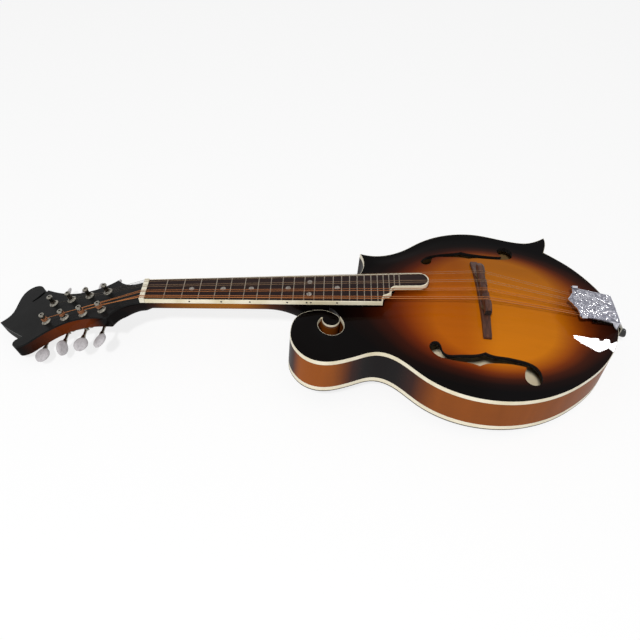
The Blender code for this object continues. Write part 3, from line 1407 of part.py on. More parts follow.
def string_route(letter, pair, member):
    """Points of one string in the body frame, from its hook to its winding, and the winding's points."""
    radius = STRING_DIAMETERS[letter] / 2.0
    hook_y = string_y(pair, member, PAIR_SPREAD_TAIL, PAIR_GAP_BRIDGE)
    bridge_y = string_y(pair, member, PAIR_SPREAD_BRIDGE, PAIR_GAP_BRIDGE)
    nut_y = string_y(pair, member, PAIR_SPREAD_NUT, PAIR_GAP_NUT)
    bridge_z = string_height_at_bridge()
    bed = radius + nut_crown()
    nut_rear = NECK_IN_BODY @ Vector((0.0, nut_y, bed))
    nut_front = NECK_IN_BODY @ Vector((-NUT_LENGTH + 0.0004, nut_y, bed))
    points = [Vector((HOOK_X, hook_y, shelf_height(HOOK_X) + HOOK_HEIGHT * 0.7)),
              Vector((BRIDGE_X + SADDLE_TOP_WIDTH / 2.0, bridge_y, bridge_z + 0.0001)),
              Vector((BRIDGE_X - SADDLE_TOP_WIDTH / 2.0, bridge_y, bridge_z + 0.0001)),
              nut_rear, nut_front]
    return points, winding_points(letter, member, nut_front)


def winding_points(letter, member, nut_front):
    """The turns on the post: from the tangent point up the waist of the post."""
    side, index = post_of(letter, member)
    radius = STRING_DIAMETERS[letter] / 2.0
    head_from_body = HEAD_IN_BODY.inverted()
    start = head_from_body @ nut_front
    centre = Vector((tuner_x(index), row_y(side)))
    coil_radius = POST_WAIST_RADIUS + CLEARANCE + radius
    reach = Vector((start.x, start.y)) - centre
    toward = math.atan2(reach.y, reach.x)
    spread = math.acos(coil_radius / reach.length)
    # The string reaches the post on the side facing the headstock's middle.
    first = toward - side * spread
    first_low = POST_WAIST_LOW + radius + CLEARANCE
    if index % 2 == 0:
        # The other string of the pair passes under this winding on its way to the next post.
        first_low += NEAR_COIL_LIFT
    rise = 2.0 * radius + COIL_SPACE
    turns = STRING_TURNS[letter]
    count = int(turns * COIL_POINTS)
    points = []
    for step in range(count + 1):
        turn = first + side * 2.0 * math.pi * turns * step / count
        height = first_low + rise * turns * step / count
        points.append(Vector((centre.x + coil_radius * math.cos(turn),
                              centre.y + coil_radius * math.sin(turn), height)))
    leave = Vector((-math.sin(first + side * 2.0 * math.pi * turns) * side,
                    math.cos(first + side * 2.0 * math.pi * turns) * side, 0.0))
    points.append(points[-1] + leave * 2.0 * radius)
    return [HEAD_IN_BODY @ point for point in points]


def least_turn_gap(coil, radius):
    """Least gap between stretches of a winding that are at least half a turn apart."""
    least = math.inf
    apart = COIL_POINTS // 2
    for index, point in enumerate(coil):
        for other in coil[index + apart:]:
            least = min(least, (point - other).length - 2.0 * radius)
    return least


def make_strings():
    for name, letter, pair, member in string_names():
        diameter = STRING_DIAMETERS[letter]
        run, coil = string_route(letter, pair, member)
        points = run + coil
        curve = bpy.data.curves.new(name, "CURVE")
        curve.dimensions = "3D"
        curve.bevel_depth = diameter / 2.0
        curve.bevel_resolution = 1
        curve.use_fill_caps = True
        spline = curve.splines.new("POLY")
        spline.points.add(len(points) - 1)
        for place, point in zip(spline.points, points):
            place.co = (*point, 1.0)
        curve.materials.append(material_for("bronze" if letter in "gd" else "steel"))
        piece = bpy.data.objects.new(name, curve)
        bpy.context.scene.collection.objects.link(piece)
        piece.parent = MANDOLIN.frames["body"]
        print(name, "winding gap to itself", round(least_turn_gap(coil, diameter / 2.0) * 1000.0, 3), "mm")


def main():
    clear_scene()
    rest = Vector((REST_X, 0.0, floor_height(REST_X)))
    body_in_world = turn_y(REST_TILT) @ Matrix.Translation(-rest)
    body = add_frame("body_frame", body_in_world)
    MANDOLIN.frames["body"] = body
    MANDOLIN.frames["neck"] = add_frame("neck_frame", NECK_IN_BODY, body)
    MANDOLIN.frames["head"] = add_frame("head_frame", HEAD_IN_BODY, body)
    make_body()
    make_blocks()
    make_tone_bars()
    make_neck()
    make_overlay()
    make_fingerboard()
    make_nut()
    make_bridge()
    make_tailpiece()
    make_tuners()
    make_strings()


main()
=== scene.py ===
"""An f-style mandolin lying on its back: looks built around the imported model. Lengths are in metres."""
import math

import bmesh
import bpy
import numpy as np
from mathutils import Matrix, Vector
from mathutils.geometry import delaunay_2d_cdt


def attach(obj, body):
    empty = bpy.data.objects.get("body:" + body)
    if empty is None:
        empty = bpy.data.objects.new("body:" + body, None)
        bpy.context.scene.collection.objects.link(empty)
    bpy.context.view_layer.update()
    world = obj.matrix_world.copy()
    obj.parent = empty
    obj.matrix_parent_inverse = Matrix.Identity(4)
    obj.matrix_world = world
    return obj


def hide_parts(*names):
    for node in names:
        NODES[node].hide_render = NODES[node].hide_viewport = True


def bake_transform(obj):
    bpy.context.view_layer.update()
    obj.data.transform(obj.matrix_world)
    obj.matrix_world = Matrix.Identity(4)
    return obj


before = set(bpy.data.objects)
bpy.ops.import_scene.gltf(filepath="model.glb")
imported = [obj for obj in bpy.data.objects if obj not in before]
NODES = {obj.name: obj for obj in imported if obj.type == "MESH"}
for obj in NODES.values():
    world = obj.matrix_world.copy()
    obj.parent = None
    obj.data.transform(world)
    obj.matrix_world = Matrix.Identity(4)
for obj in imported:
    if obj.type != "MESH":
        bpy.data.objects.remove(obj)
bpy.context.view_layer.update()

# Places: the body's frame, the fret plane's and the headstock's

GAP = 0.0003
REST_TILT = 3.834675798
REST_X = 0.185
REST_Z = -0.05204395988
NECK_ANGLE = 6.32
HEAD_ANGLE = 14.6
SCALE_LENGTH = 0.3524
FRET_LIFT = 0.0137


def turn_y(degrees):
    return Matrix.Rotation(math.radians(degrees), 4, "Y")


def moved(x, y, z):
    return Matrix.Translation((x, y, z))


def polar(reach, turn, middle=(0.0, 0.0)):
    """Point of a plane at a reach and a turn from a middle."""
    return (middle[0] + reach * math.cos(turn), middle[1] + reach * math.sin(turn))


def fret_position(number):
    return SCALE_LENGTH * (1.0 - 2.0 ** (-number / 12.0))


BODY = turn_y(REST_TILT) @ moved(-REST_X, 0.0, -REST_Z)
NECK_ON_BODY = moved(0.0, 0.0, FRET_LIFT) @ turn_y(-NECK_ANGLE) @ moved(-fret_position(15), 0.0, 0.0)
HEAD_ON_BODY = NECK_ON_BODY @ moved(0.0, 0.0, -0.00246) @ turn_y(-HEAD_ANGLE)
NECK = BODY @ NECK_ON_BODY
HEAD = BODY @ HEAD_ON_BODY
FRET_SLOPE = math.tan(math.radians(NECK_ANGLE))
FRET_COSINE = math.cos(math.radians(NECK_ANGLE))

# Sizes

FRONT_X, TAIL_X = -0.0108, 0.2940
SCROLL_EYE = (-0.0092, -0.0334)
BODY_DEPTH, BINDING_HEIGHT, BINDING_WIDTH = 0.0430, 0.0050, 0.0005
BACK_LIP, RIM_WALL = 0.0012, 0.0026
TOP_ARCH, BACK_ARCH, PLATE = 0.0160, 0.0095, 0.0042
BACK_Z = -BODY_DEPTH
RIM_TOP, RIM_BOTTOM = -BINDING_HEIGHT, BACK_Z + BINDING_HEIGHT
BOARD_THICKNESS, WOOD_GROWTH, BOUND_GROWTH = 0.0050, 0.0006, 0.0018
FRET_HALF, FRET_HEIGHT = 0.00065, 0.0009
HEAD_THICKNESS, HEAD_ROOT, VENEER = 0.0145, 0.0050, 0.0020
NECK_DEPTH, VOLUTE = 0.0160, 0.0045
HEEL_START, HEEL_HALF, HEEL_FOOT = -0.0800, 0.0166, 0.0085
NUT_LENGTH, NUT_BED = 0.0055, 0.0010
BRIDGE_X, STUD_Y = 0.1457, 0.0235
SADDLE_LOW, BRIDGE_STRING_Z = 0.0240852308, 0.0328369105
POST_PLACES = [-(0.0502 + 0.0224 * index) for index in range(4)]
ROW_Y = {"bass": -0.0153, "treble": 0.0125}
WAY = {"bass": -1.0, "treble": 1.0}
STRING_WIDTH = {"g": 0.00080, "d": 0.00056, "a": 0.00038, "e": 0.00030}


# Outlines: Bezier chains through keys (x, y, heading in, heading out) or (x, y, heading), in degrees

def trace(keys, step_degrees=8.0, step_length=0.005, closed=True):
    points = []
    pairs = list(zip(keys, keys[1:] + keys[:1])) if closed else list(zip(keys, keys[1:]))
    for first, last in pairs:
        start, end = Vector(first[:2]), Vector(last[:2])
        chord = (end - start).length
        leave, arrive = math.radians(first[-1]), math.radians(last[2])
        heading = math.degrees(math.atan2(end.y - start.y, end.x - start.x))
        bend = [abs((b - a + 180.0) % 360.0 - 180.0)
                for a, b in ((first[-1], heading), (heading, last[2]), (first[-1], last[2]))]
        half = math.radians(max(bend[2], 1.0)) / 2.0
        reach = chord * (2.0 / 3.0) * math.tan(half / 2.0) / math.sin(half)
        a = start + reach * Vector((math.cos(leave), math.sin(leave)))
        b = end - reach * Vector((math.cos(arrive), math.sin(arrive)))
        steps = max(1, math.ceil((bend[0] + bend[1]) / step_degrees))
        if bend[0] + bend[1] > 2.0:
            steps = max(steps, math.ceil(chord / step_length))
        for index in range(steps):
            t = index / steps
            u = 1.0 - t
            point = u ** 3 * start + 3 * u * u * t * a + 3 * u * t * t * b + t ** 3 * end
            points.append((point.x, point.y))
    if not closed:
        points.append(tuple(keys[-1][:2]))
    return points


def body_outline():
    """Edge of the body with the scroll's slot, counter-clockwise from above."""
    (cx, cy), disc = SCROLL_EYE, 0.0090
    left, top, shoulder = -0.0493, -0.0206, -0.0917

    def round_end(angle, radius=disc):
        return polar(radius, math.radians(angle), SCROLL_EYE)

    throat, slot_end, leaving = round_end(30.0, disc + 0.0014), round_end(172.0), round_end(62.0)
    return trace([
        (FRONT_X, -0.0170, -90.0, -22.0),
        (*throat, -60.0),
        (cx + disc + 0.0045, cy - 0.0085, -92.0),
        (cx + 0.0007, cy - disc - 0.0132, 180.0),
        (cx - disc - 0.0042, cy - 0.0083, 94.0),
        (slot_end[0] - 0.0012, slot_end[1] - 0.0003, 60.0),
        (*slot_end, -98.0),
        (cx, cy - disc, 0.0),
        (cx + disc, cy, 90.0),
        (*leaving, 152.0),
        (cx - disc, top, 180.0),
        (left + 0.0103, top - 0.0072, 216.0),
        (left, top - 0.0350, -90.0),
        (left + 0.0113, shoulder + 0.0095, -46.0),
        (left + 0.0338, shoulder, 0.0),
        (0.0140, -0.0830, 24.0),
        (0.0390, -0.0741, 0.0),
        (0.0810, -0.10095, -40.0),
        (0.1520, -0.1250, 0.0),
        (0.2300, -0.0996, 35.0),
        (TAIL_X - 0.0150, -0.0490, 60.0),
        (TAIL_X, 0.0, 90.0),
        (TAIL_X - 0.0140, 0.0505, 119.0),
        (TAIL_X - 0.0400, 0.0850, 137.0),
        (0.2356, 0.1007, 143.0, 71.0),
        (0.2409, 0.1283, 100.0, 217.0),
        (0.2115, 0.1151, 180.0),
        (0.1530, 0.1243, 180.0),
        (0.0820, 0.09475, 223.0),
        (0.0345, 0.0716, 180.0),
        (0.0214, 0.0737, 166.0, -63.0),
        (FRONT_X, 0.0208, 180.0, -90.0),
    ])


def f_hole(side):
    eye_x, eye_y, eye = 0.0942, 0.0665, 0.0063
    foot_x, foot_y, foot = 0.1880, 0.0943, 0.0088
    inner_x, inner_y, outer_x, outer_y = 0.1428, 0.0704, 0.1360, 0.0862
    points = trace([
        (eye_x + eye * 0.97, eye_y + 0.0030, -100.0),
        (eye_x, eye_y - eye, 180.0),
        (eye_x - eye, eye_y, 90.0),
        (eye_x - 0.0012, eye_y + 0.0083, 46.0),
        (eye_x + 0.0130, eye_y + 0.0143, 14.0),
        (outer_x, outer_y, 24.0, -30.0),
        (outer_x + 0.0110, outer_y - 0.0038, -6.0),
        (foot_x - 0.0055, foot_y - 0.0111, 12.0, 115.0),
        (foot_x - foot, foot_y, 90.0),
        (foot_x, foot_y + foot, 0.0),
        (foot_x + foot, foot_y - 0.0010, -90.0),
        (foot_x + 0.0034, foot_y - 0.0138, 215.0),
        (foot_x - 0.0200, foot_y - 0.0198, 188.0),
        (inner_x, inner_y, 212.0, 152.0),
        (inner_x - 0.0240, inner_y + 0.0043, 178.0),
        (inner_x - 0.0365, inner_y + 0.0049, 190.0),
    ], 12.0, 0.004)
    lean = 0.13 if side > 0 else 0.0
    return [(x, side * (y - lean * max(0.0, inner_x - x))) for x, y in points]


def head_outline(root):
    """Headstock in its own frame: the nut is at x = 0 and the tip at the left."""
    keys = [
        (root, 0.0158, 90.0, 0.0),
        (-0.0180, 0.0154, 2.0),
        (-0.0420, 0.0290, 50.0, -32.0),
        (-0.0790, 0.0203, 0.0),
        (-0.1340, 0.0388, 30.0, -55.0),
        (-0.1408, 0.0292, -44.0),
        (-0.1486, 0.0238, -35.0),
        (-0.1490, 0.0262, 140.0),
        (-0.1432, 0.0325, 125.0),
        (-0.1390, 0.0395, 70.0),
        (-0.1532, 0.0512, 0.0),
        (-0.1674, 0.0400, -75.0),
        (-0.1694, 0.0140, -82.0),
        (-0.1819, -0.0004, -27.0, 223.0),
        (-0.1560, -0.0213, 215.0),
        (-0.1410, -0.0316, 210.0, -30.0),
        (-0.1506, -0.0378, -85.0),
        (-0.1425, -0.0462, 180.0),
        (-0.1290, -0.0418, 142.0),
        (-0.0800, -0.0216, 180.0),
        (-0.0425, -0.0283, 196.0),
        (-0.0408, -0.0277, 115.0),
        (-0.0180, -0.0154, 178.0),
        (root, -0.0158, 180.0, 90.0),
    ]
    mirrored = [(-x, *rest) for x, *rest in keys]
    return [(-x, y) for x, y in trace(mirrored, 8.0, 0.004)]


def board_half_width(x):
    return 0.0139 + 0.0050 * x / fret_position(15)


def board_outline(grow):
    """Fingerboard in plan from the nut: stepped bass end, rounded treble extension."""
    bass_end = fret_position(20) + 0.0030
    far, near, tip = board_half_width(0.2940 * 0.9), 0.0034, 0.2932
    radius = (far - near) / 2.0
    return trace([
        (0.0, -board_half_width(0.0) - grow, -90.0, 0.0),
        (bass_end + grow, -board_half_width(bass_end) - grow, 0.0, 92.0),
        (bass_end + 0.0018 + grow, near - 0.0140 - grow, 70.0, 20.0),
        (bass_end + 0.0092 + grow, near - 0.0105 - grow, 30.0, 92.0),
        (bass_end + 0.0096 + grow, near - 0.0040 - grow, 85.0, 60.0),
        (bass_end + 0.0140 + grow, near - grow, 20.0, 0.0),
        (tip - radius, near - grow, 0.0, 0.0),
        (tip + grow, near + radius, 90.0, 90.0),
        (tip - radius, far + grow, 180.0, 180.0),
        (0.0, board_half_width(0.0) + grow, 180.0, -90.0),
    ], 8.0, 0.5)


# Plane geometry

def smooth_step(value):
    value = np.clip(value, 0.0, 1.0)
    return value * value * (3.0 - 2.0 * value)


def ease(value):
    return float(smooth_step(value))


def distance_to_line(points, line, closed=True):
    """Least distance of each point to a chain of segments."""
    points = np.array(points, float)
    start = np.array(line, float)
    end = np.roll(start, -1, axis=0)
    if not closed:
        start, end = start[:-1], end[:-1]
    along = end - start
    length = np.maximum((along * along).sum(1), 1e-18)
    least = np.empty(len(points))
    for first in range(0, len(points), 2000):
        block = points[first:first + 2000]
        offset = block[:, None, :] - start[None]
        share = np.clip((offset * along).sum(2) / length, 0.0, 1.0)
        away = offset - share[..., None] * along[None]
        least[first:first + 2000] = np.sqrt((away * away).sum(2).min(1))
    return least


def inside(points, loop):
    points = np.array(points, float)
    start = np.array(loop, float)
    end = np.roll(start, -1, axis=0)
    x, y = points[:, 0:1], points[:, 1:2]
    spans = (start[:, 1] > y) != (end[:, 1] > y)
    with np.errstate(divide="ignore", invalid="ignore"):
        crossing = start[:, 0] + (y - start[:, 1]) * (end[:, 0] - start[:, 0]) / (end[:, 1] - start[:, 1])
    return (spans & (x < crossing)).sum(1) % 2 == 1


def inset(loop, distance):
    """Counter-clockwise outline moved inwards."""
    points = np.array(loop, float)
    before = points - np.roll(points, 1, axis=0)
    after = np.roll(points, -1, axis=0) - points
    before /= np.linalg.norm(before, axis=1)[:, None]
    after /= np.linalg.norm(after, axis=1)[:, None]
    side_before = np.stack([-before[:, 1], before[:, 0]], axis=1)
    side_after = np.stack([-after[:, 1], after[:, 0]], axis=1)
    middle = side_before + side_after
    middle /= np.linalg.norm(middle, axis=1)[:, None]
    mitre = (middle * side_before).sum(1)
    moved = points + middle * (distance / np.maximum(mitre, 0.35))[:, None]
    keep = distance_to_line(moved, loop) > 0.985 * abs(distance)
    return [tuple(point) for point in moved[keep]]


def triangulate(outer, holes=(), filling=()):
    coordinates, edges = [], []
    for loop in [outer, *holes]:
        first, count = len(coordinates), len(loop)
        coordinates += [Vector(point) for point in loop]
        edges += [(first + index, first + (index + 1) % count) for index in range(count)]
    coordinates += [Vector(point) for point in filling]
    corners, _, faces, _, _, _ = delaunay_2d_cdt(coordinates, edges, [], 2, 1e-7)
    points = np.array(corners, float)
    centres = points[np.array(faces, int)].mean(1)
    keep = inside(centres, outer)
    for hole in holes:
        keep &= ~inside(centres, hole)
    triangles = []
    for face, kept in zip(faces, keep):
        if kept:
            a, b, c = (corners[index] for index in face)
            triangles.append(tuple(face) if (b - a).cross(c - a) > 0.0 else tuple(reversed(face)))
    return [(corner.x, corner.y) for corner in corners], triangles


def filling_grid(outer, holes, spacing, margin):
    low, high = np.array(outer).min(0), np.array(outer).max(0)
    row_height = spacing * math.sqrt(3.0) / 2.0
    points = [(low[0] + spacing / 2.0 * (row % 2) + column * spacing, low[1] + row * row_height)
              for row in range(int((high[1] - low[1]) / row_height) + 1)
              for column in range(int((high[0] - low[0]) / spacing) + 1)]
    keep = inside(points, outer) & (distance_to_line(points, outer) > margin)
    for hole in holes:
        keep &= ~inside(points, hole) & (distance_to_line(points, hole) > margin)
    return [point for point, kept in zip(points, keep) if kept]


# Surfaces of the carved plates

OUTLINE = body_outline()
F_HOLES = [f_hole(-1), f_hole(1)]
DOME_X, DOME_LENGTH, DOME_WIDTH = 0.1400, 0.1520, 0.1220
EDGE_FLAT, EDGE_RISE = 0.0090, 0.0180
SCROLL_CROWN = 0.0015


def arch(points, height):
    points = np.array(points, float)
    reach = np.hypot((points[:, 0] - DOME_X) / DOME_LENGTH, points[:, 1] / DOME_WIDTH)
    dome = 0.5 * (1.0 + np.cos(math.pi * np.clip(reach, 0.0, 1.0) ** 1.15))
    edge = distance_to_line(points, OUTLINE)
    crown = np.where(points[:, 0] < FRONT_X, SCROLL_CROWN, 0.0)
    return height * dome * smooth_step(edge / EDGE_RISE) + crown * smooth_step(edge / EDGE_FLAT)


def top_surface(points):
    return arch(points, TOP_ARCH)


def hollowed(points, glued, carved):
    """Inner face of a plate: flat where it is glued to the rim, carved inside that."""
    share = smooth_step((distance_to_line(points, OUTLINE) - EDGE_FLAT) / EDGE_RISE)
    return glued + (carved - glued) * share


def top_underside(points):
    return hollowed(points, RIM_TOP, np.maximum(top_surface(points) - PLATE, RIM_TOP))


def back_outside(points):
    return BACK_Z - BACK_LIP - arch(points, BACK_ARCH)


def back_inside(points):
    return hollowed(points, RIM_BOTTOM, np.minimum(back_outside(points) + PLATE, RIM_BOTTOM))


def back_rested(points):
    """Outside of the back with the small flat that it lies on."""
    points = np.array(points, float)
    floor = REST_Z + math.tan(math.radians(REST_TILT)) * (points[:, 0] - REST_X)
    return np.maximum(back_outside(points), floor)


def top_at(x, y):
    return float(top_surface([(x, y)])[0])


def fret_plane(x):
    return FRET_LIFT + FRET_SLOPE * x


def neck_top(x):
    return fret_plane(x) - (BOARD_THICKNESS + GAP) / FRET_COSINE


# Finishes: arithmetic on a Flow adds Math nodes to its graph

WHITE = (1.0, 1.0, 1.0, 1.0)
LACQUER = {"roughness": 0.45, "specular_ior_level": 0.0, "coat_weight": 0.10, "coat_roughness": 0.02}


def paint(code):
    """Linear colour of a six-digit code."""
    parts = [int(code[index:index + 2], 16) / 255.0 for index in (0, 2, 4)]
    return tuple(c / 12.92 if c < 0.04045 else ((c + 0.055) / 1.055) ** 2.4 for c in parts) + (1.0,)


class Flow:
    """A number, colour, direction or shader on its way through a graph."""

    def __init__(self, graph, socket):
        self.graph = graph
        self.socket = socket

    def sum(self, operation, *values):
        return self.graph.node("Math", {"operation": operation}, dict(enumerate(values)))

    def __add__(self, other):
        return self.sum("ADD", self, other)

    def __sub__(self, other):
        return self.sum("SUBTRACT", self, other)

    def __rsub__(self, other):
        return self.sum("SUBTRACT", other, self)

    def __mul__(self, other):
        return self.sum("MULTIPLY", self, other)

    def __truediv__(self, other):
        return self.sum("DIVIDE", self, other)

    __radd__ = __add__
    __rmul__ = __mul__

    def size(self):
        return self.sum("ABSOLUTE", self)

    def root(self):
        return self.sum("SQRT", self)

    def fade(self, low, high):
        """0 at low, 1 at high, smooth between; low may be the greater."""
        share = self.graph.node("MapRange", {"interpolation_type": "SMOOTHSTEP"},
                                {0: self, 1: min(low, high), 2: max(low, high), 3: 0.0, 4: 1.0})
        return 1.0 - share if low > high else share


class Graph:
    """The nodes of a material or a world."""

    def __init__(self, owner):
        owner.use_nodes = True
        self.tree = owner.node_tree

    def feed(self, socket, value):
        if isinstance(value, Flow):
            self.tree.links.new(value.socket, socket)
        else:
            socket.default_value = value

    def node(self, kind, settings=None, inputs=None, output=0):
        made = self.tree.nodes.new("ShaderNode" + kind)
        for name, value in (settings or {}).items():
            setattr(made, name, value)
        for name, value in (inputs or {}).items():
            self.feed(made.inputs[name], value)
        return Flow(self, made.outputs[output]) if made.outputs else None

    def mix(self, share, first, second):
        return self.node("MixShader", None, {0: share, 1: first, 2: second})

    def seen_by_eye(self):
        """1 for rays from the camera, a mirror or clear stuff, and 0 for rays that carry light."""
        eye, mirror, clear = (self.node("LightPath", output=f"Is {kind} Ray")
                              for kind in ("Camera", "Glossy", "Transmission"))
        return eye.sum("MAXIMUM", eye.sum("MAXIMUM", eye, mirror), clear)


class Finish(Graph):
    """A material around one Principled shader."""

    def __init__(self, name, **surface):
        self.material = bpy.data.materials.new(name)
        super().__init__(self.material)
        self.shader = self.tree.nodes["Principled BSDF"]
        self.places = {}
        self.set(**surface)

    def set(self, **surface):
        for name, value in surface.items():
            words = name.replace("_", " ").title().replace("Ior", "IOR")
            self.feed(self.shader.inputs[words], value)

    def spot(self, kind="Object"):
        if kind not in self.places:
            self.places[kind] = self.node("TexCoord", output=kind)
        return self.places[kind]

    def axis(self, letter, spot="Object"):
        return self.node("SeparateXYZ", None, {0: self.spot(spot)}, letter)

    def pulled(self, letter, amount):
        """The spot with one axis shortened, which draws a pattern out along it."""
        scale = tuple(amount if axis == letter else 1.0 for axis in "xyz")
        return self.node("Mapping", None, {"Vector": self.spot(), "Scale": scale})

    def noise(self, place, scale, detail=3.0, rough=0.5, twist=0.0):
        return self.node("TexNoise", None, {"Vector": place, "Scale": scale, "Detail": detail,
                                            "Roughness": rough, "Distortion": twist})

    def cells(self, place, scale):
        return self.node("TexVoronoi", None, {"Vector": place, "Scale": scale})

    def ramp(self, value, *stops):
        made = self.node("ValToRGB", None, {0: value})
        elements = made.socket.node.color_ramp.elements
        while len(elements) < len(stops):
            elements.new(0.5)
        for element, (place, code) in zip(elements, stops):
            element.position = place
            element.color = paint(code)
        return made

    def blend(self, share, first, second):
        first, second = (paint(c) if isinstance(c, str) else c for c in (first, second))
        return self.node("Mix", {"data_type": "RGBA"}, {0: share, 6: first, 7: second}, 2)

    def times(self, colour, by):
        return self.node("VectorMath", {"operation": "MULTIPLY"}, {0: colour, 1: by})

    def tone(self, colour, value):
        """Colour made lighter or darker by a number around 1."""
        return self.times(colour, self.node("CombineXYZ", None, {0: value, 1: value, 2: value}))

    def bump(self, height, distance, strength):
        relief = {"Height": height, "Distance": distance, "Strength": strength}
        self.set(normal=self.node("Bump", None, relief))


def grain_lines(finish, across, depth):
    """Streaks of wood grain along x, around 1."""
    streaks = finish.noise(finish.pulled("x", 0.06), 90.0 * across, 4.0, 0.6)
    return 1.0 + (streaks - 0.5) * depth


def flame(finish, depth, scale=62.0):
    """Curl of figured maple: short cross bands that waver, around 1."""
    bands = finish.noise(finish.pulled("z", 0.10), scale, 2.0, 0.55, 0.35)
    return 1.0 + (bands - 0.5) * depth


def burst(finish, centre, radii, soft_ends=1.0, sides=0.0, lean=0.0):
    """Distance from the bright middle of the burst, 1 at its brown rim; it fades slower towards the ends."""
    x = (finish.axis("X") - centre[0] - finish.axis("Y").fade(-0.01, 0.05) * lean) / radii[0]
    y = (finish.axis("Y") - centre[1]) / radii[1]
    square = x * x + y * y
    uneven = (finish.noise(finish.spot(), 11.0, 2.0) - 0.5) * 0.07
    return 1.0 + (square.root() - 1.0) * (soft_ends + sides * (y * y) / (square + 0.001)) + uneven


def eye_square(finish):
    """Square of the distance from the middle of the scroll."""
    x, y = (finish.axis(letter) - middle for letter, middle in zip("XY", SCROLL_EYE))
    return x * x + y * y


def make_finishes():
    made = {}

    def add(name, **surface):
        made[name] = Finish(name, **surface)
        return made[name]

    top = add("sunburst_spruce", **LACQUER)
    reach = burst(top, (0.1570, -0.0030), (0.1100, 0.0930), 0.65, 1.0, 0.009)
    shade = top.ramp(reach / 1.5, (0.0, "bd6c0c"), (0.46, "bd6c0c"), (0.575, "94480a"), (0.635, "6c2c0a"),
                     (0.70, "3c170a"), (0.78, "170a08"), (0.87, "080607"))
    # Painted shade: the front of the top, below x = 0.16 m, is painted darker and redder, and the far side,
    # above y = 0.012 m, up to 26% darker, as if lit from the near side at the tail.
    painted_front_shade = top.times(shade, (0.74, 0.58, 0.45))
    shade = top.blend(top.axis("X").fade(0.160, 0.122), shade, painted_front_shade)
    far = 1.0 - top.axis("Y").fade(0.012, 0.058) * 0.26
    top.set(base_color=top.tone(shade, grain_lines(top, 6.0, 0.10) * grain_lines(top, 1.2, 0.14) * far))

    rim = add("rim_maple", **{**LACQUER, "coat_weight": 0.28})
    x, y = rim.axis("X"), rim.axis("Y")
    bass = y.fade(0.004, -0.004)
    waist = x.fade(-0.006, 0.028) * x.fade(0.100, 0.056)
    shoulder = x.fade(-0.036, -0.050) + (x.fade(-0.016, -0.004) * y.fade(-0.030, -0.020) * bass)
    far_point = x.fade(0.196, 0.226) * x.fade(0.278, 0.250) * y.fade(0.066, 0.090)
    heel = x.fade(0.004, -0.008) * y.size().fade(0.032, 0.022)
    dark = rim.node("Clamp", None, {0: waist + shoulder + far_point + heel})
    wood = rim.ramp(dark, (0.0, "80420f"), (0.35, "602e0e"), (0.65, "331710"), (1.0, "100b0c"))
    # Besides flame and grain, the figure carries painted light: the rim is painted up to 22% lighter at the
    # scroll end, in front of x = 0.
    figure = flame(rim, 0.34) * grain_lines(rim, 3.0, 0.10) * (1.0 + x.fade(0.0, -0.02) * 0.22)
    slot = eye_square(rim).fade(0.00042, 0.00034)
    rim.set(base_color=rim.tone(wood, figure * (1.0 - slot * 0.45)))

    back = add("back_maple", **LACQUER)
    reach = burst(back, (0.1450, 0.0), (0.1270, 0.1020))
    shade = back.ramp(reach / 1.5, (0.0, "b8681a"), (0.36, "ab5b16"), (0.52, "8a3f12"), (0.64, "4b1f10"),
                      (0.76, "1b100d"), (0.87, "0c0b0b"))
    bands = back.noise(back.pulled("y", 0.16), 88.0, 2.0, 0.55, 0.5)
    seam = back.axis("Y").size().fade(0.0007, 0.0)
    figure = (1.0 + (bands - 0.5) * 0.75) * grain_lines(back, 3.0, 0.12) * (1.0 - seam * 0.35)
    back.set(base_color=back.tone(shade, figure))

    neck = add("neck_maple", **LACQUER)
    along = (neck.axis("X") - NECK_ON_BODY.translation.x) / 0.200
    wood = neck.ramp(along, (0.0, "110b0a"), (0.045, "2c150e"), (0.12, "6a3d16"), (0.26, "88541a"),
                     (0.50, "935b1c"), (0.56, "804b15"), (0.66, "452314"), (0.74, "1d110e"),
                     (0.82, "080606"))
    neck.set(base_color=neck.tone(wood, flame(neck, 0.22, 80.0) * grain_lines(neck, 4.0, 0.12)))

    head = add("head_maple", **LACQUER)
    x = head.axis("X")
    middle = x.fade(-0.048, -0.070) * x.fade(-0.145, -0.092)
    under = head.axis("Z").fade(-0.0135, -0.0150)
    wood = head.blend(middle + under * x.fade(-0.015, -0.05) * 0.4, "0c0a0a", "5c280e")
    head.set(base_color=head.tone(wood, flame(head, 0.3, 90.0) * grain_lines(head, 4.0, 0.1)))

    for name, scale, dark, light, surface in (
            ("black_face", 40.0, "0d0d0d", "161616", {"roughness": 0.45, "specular_ior_level": 0.04,
                                                      "coat_weight": 0.08, "coat_roughness": 0.05}),
            # The black edge is black paint on the f-hole walls and the back's edge, and painted shade on the
            # saddle's ends.
            ("black_edge_and_painted_shade", 300.0, "070606", "120d0a", {"roughness": 0.6}),
            ("black_peg", 60.0, "0b0b0b", "161514", {"roughness": 0.22, "specular_ior_level": 0.5})):
        black = add(name, **surface)
        black.set(base_color=black.ramp(black.noise(black.spot(), scale), (0.3, dark), (0.7, light)))

    # The spruce inside the body is painted dark brown: painted shade for the hollow of the body, with real
    # speckle and grain.
    for name, scale, light, deep, across, depth in (("spruce_painted_shade", 20.0, "8c7048", "765a38", 7.0, 0.30),
                                                    ("bare_maple", 30.0, "f2e6cc", "e2d0aa", 5.0, 0.12)):
        bare = add(name, roughness=0.8, specular_ior_level=0.2)
        shade = bare.blend(bare.noise(bare.spot(), scale), light, deep)
        bare.set(base_color=bare.tone(shade, grain_lines(bare, across, depth)))

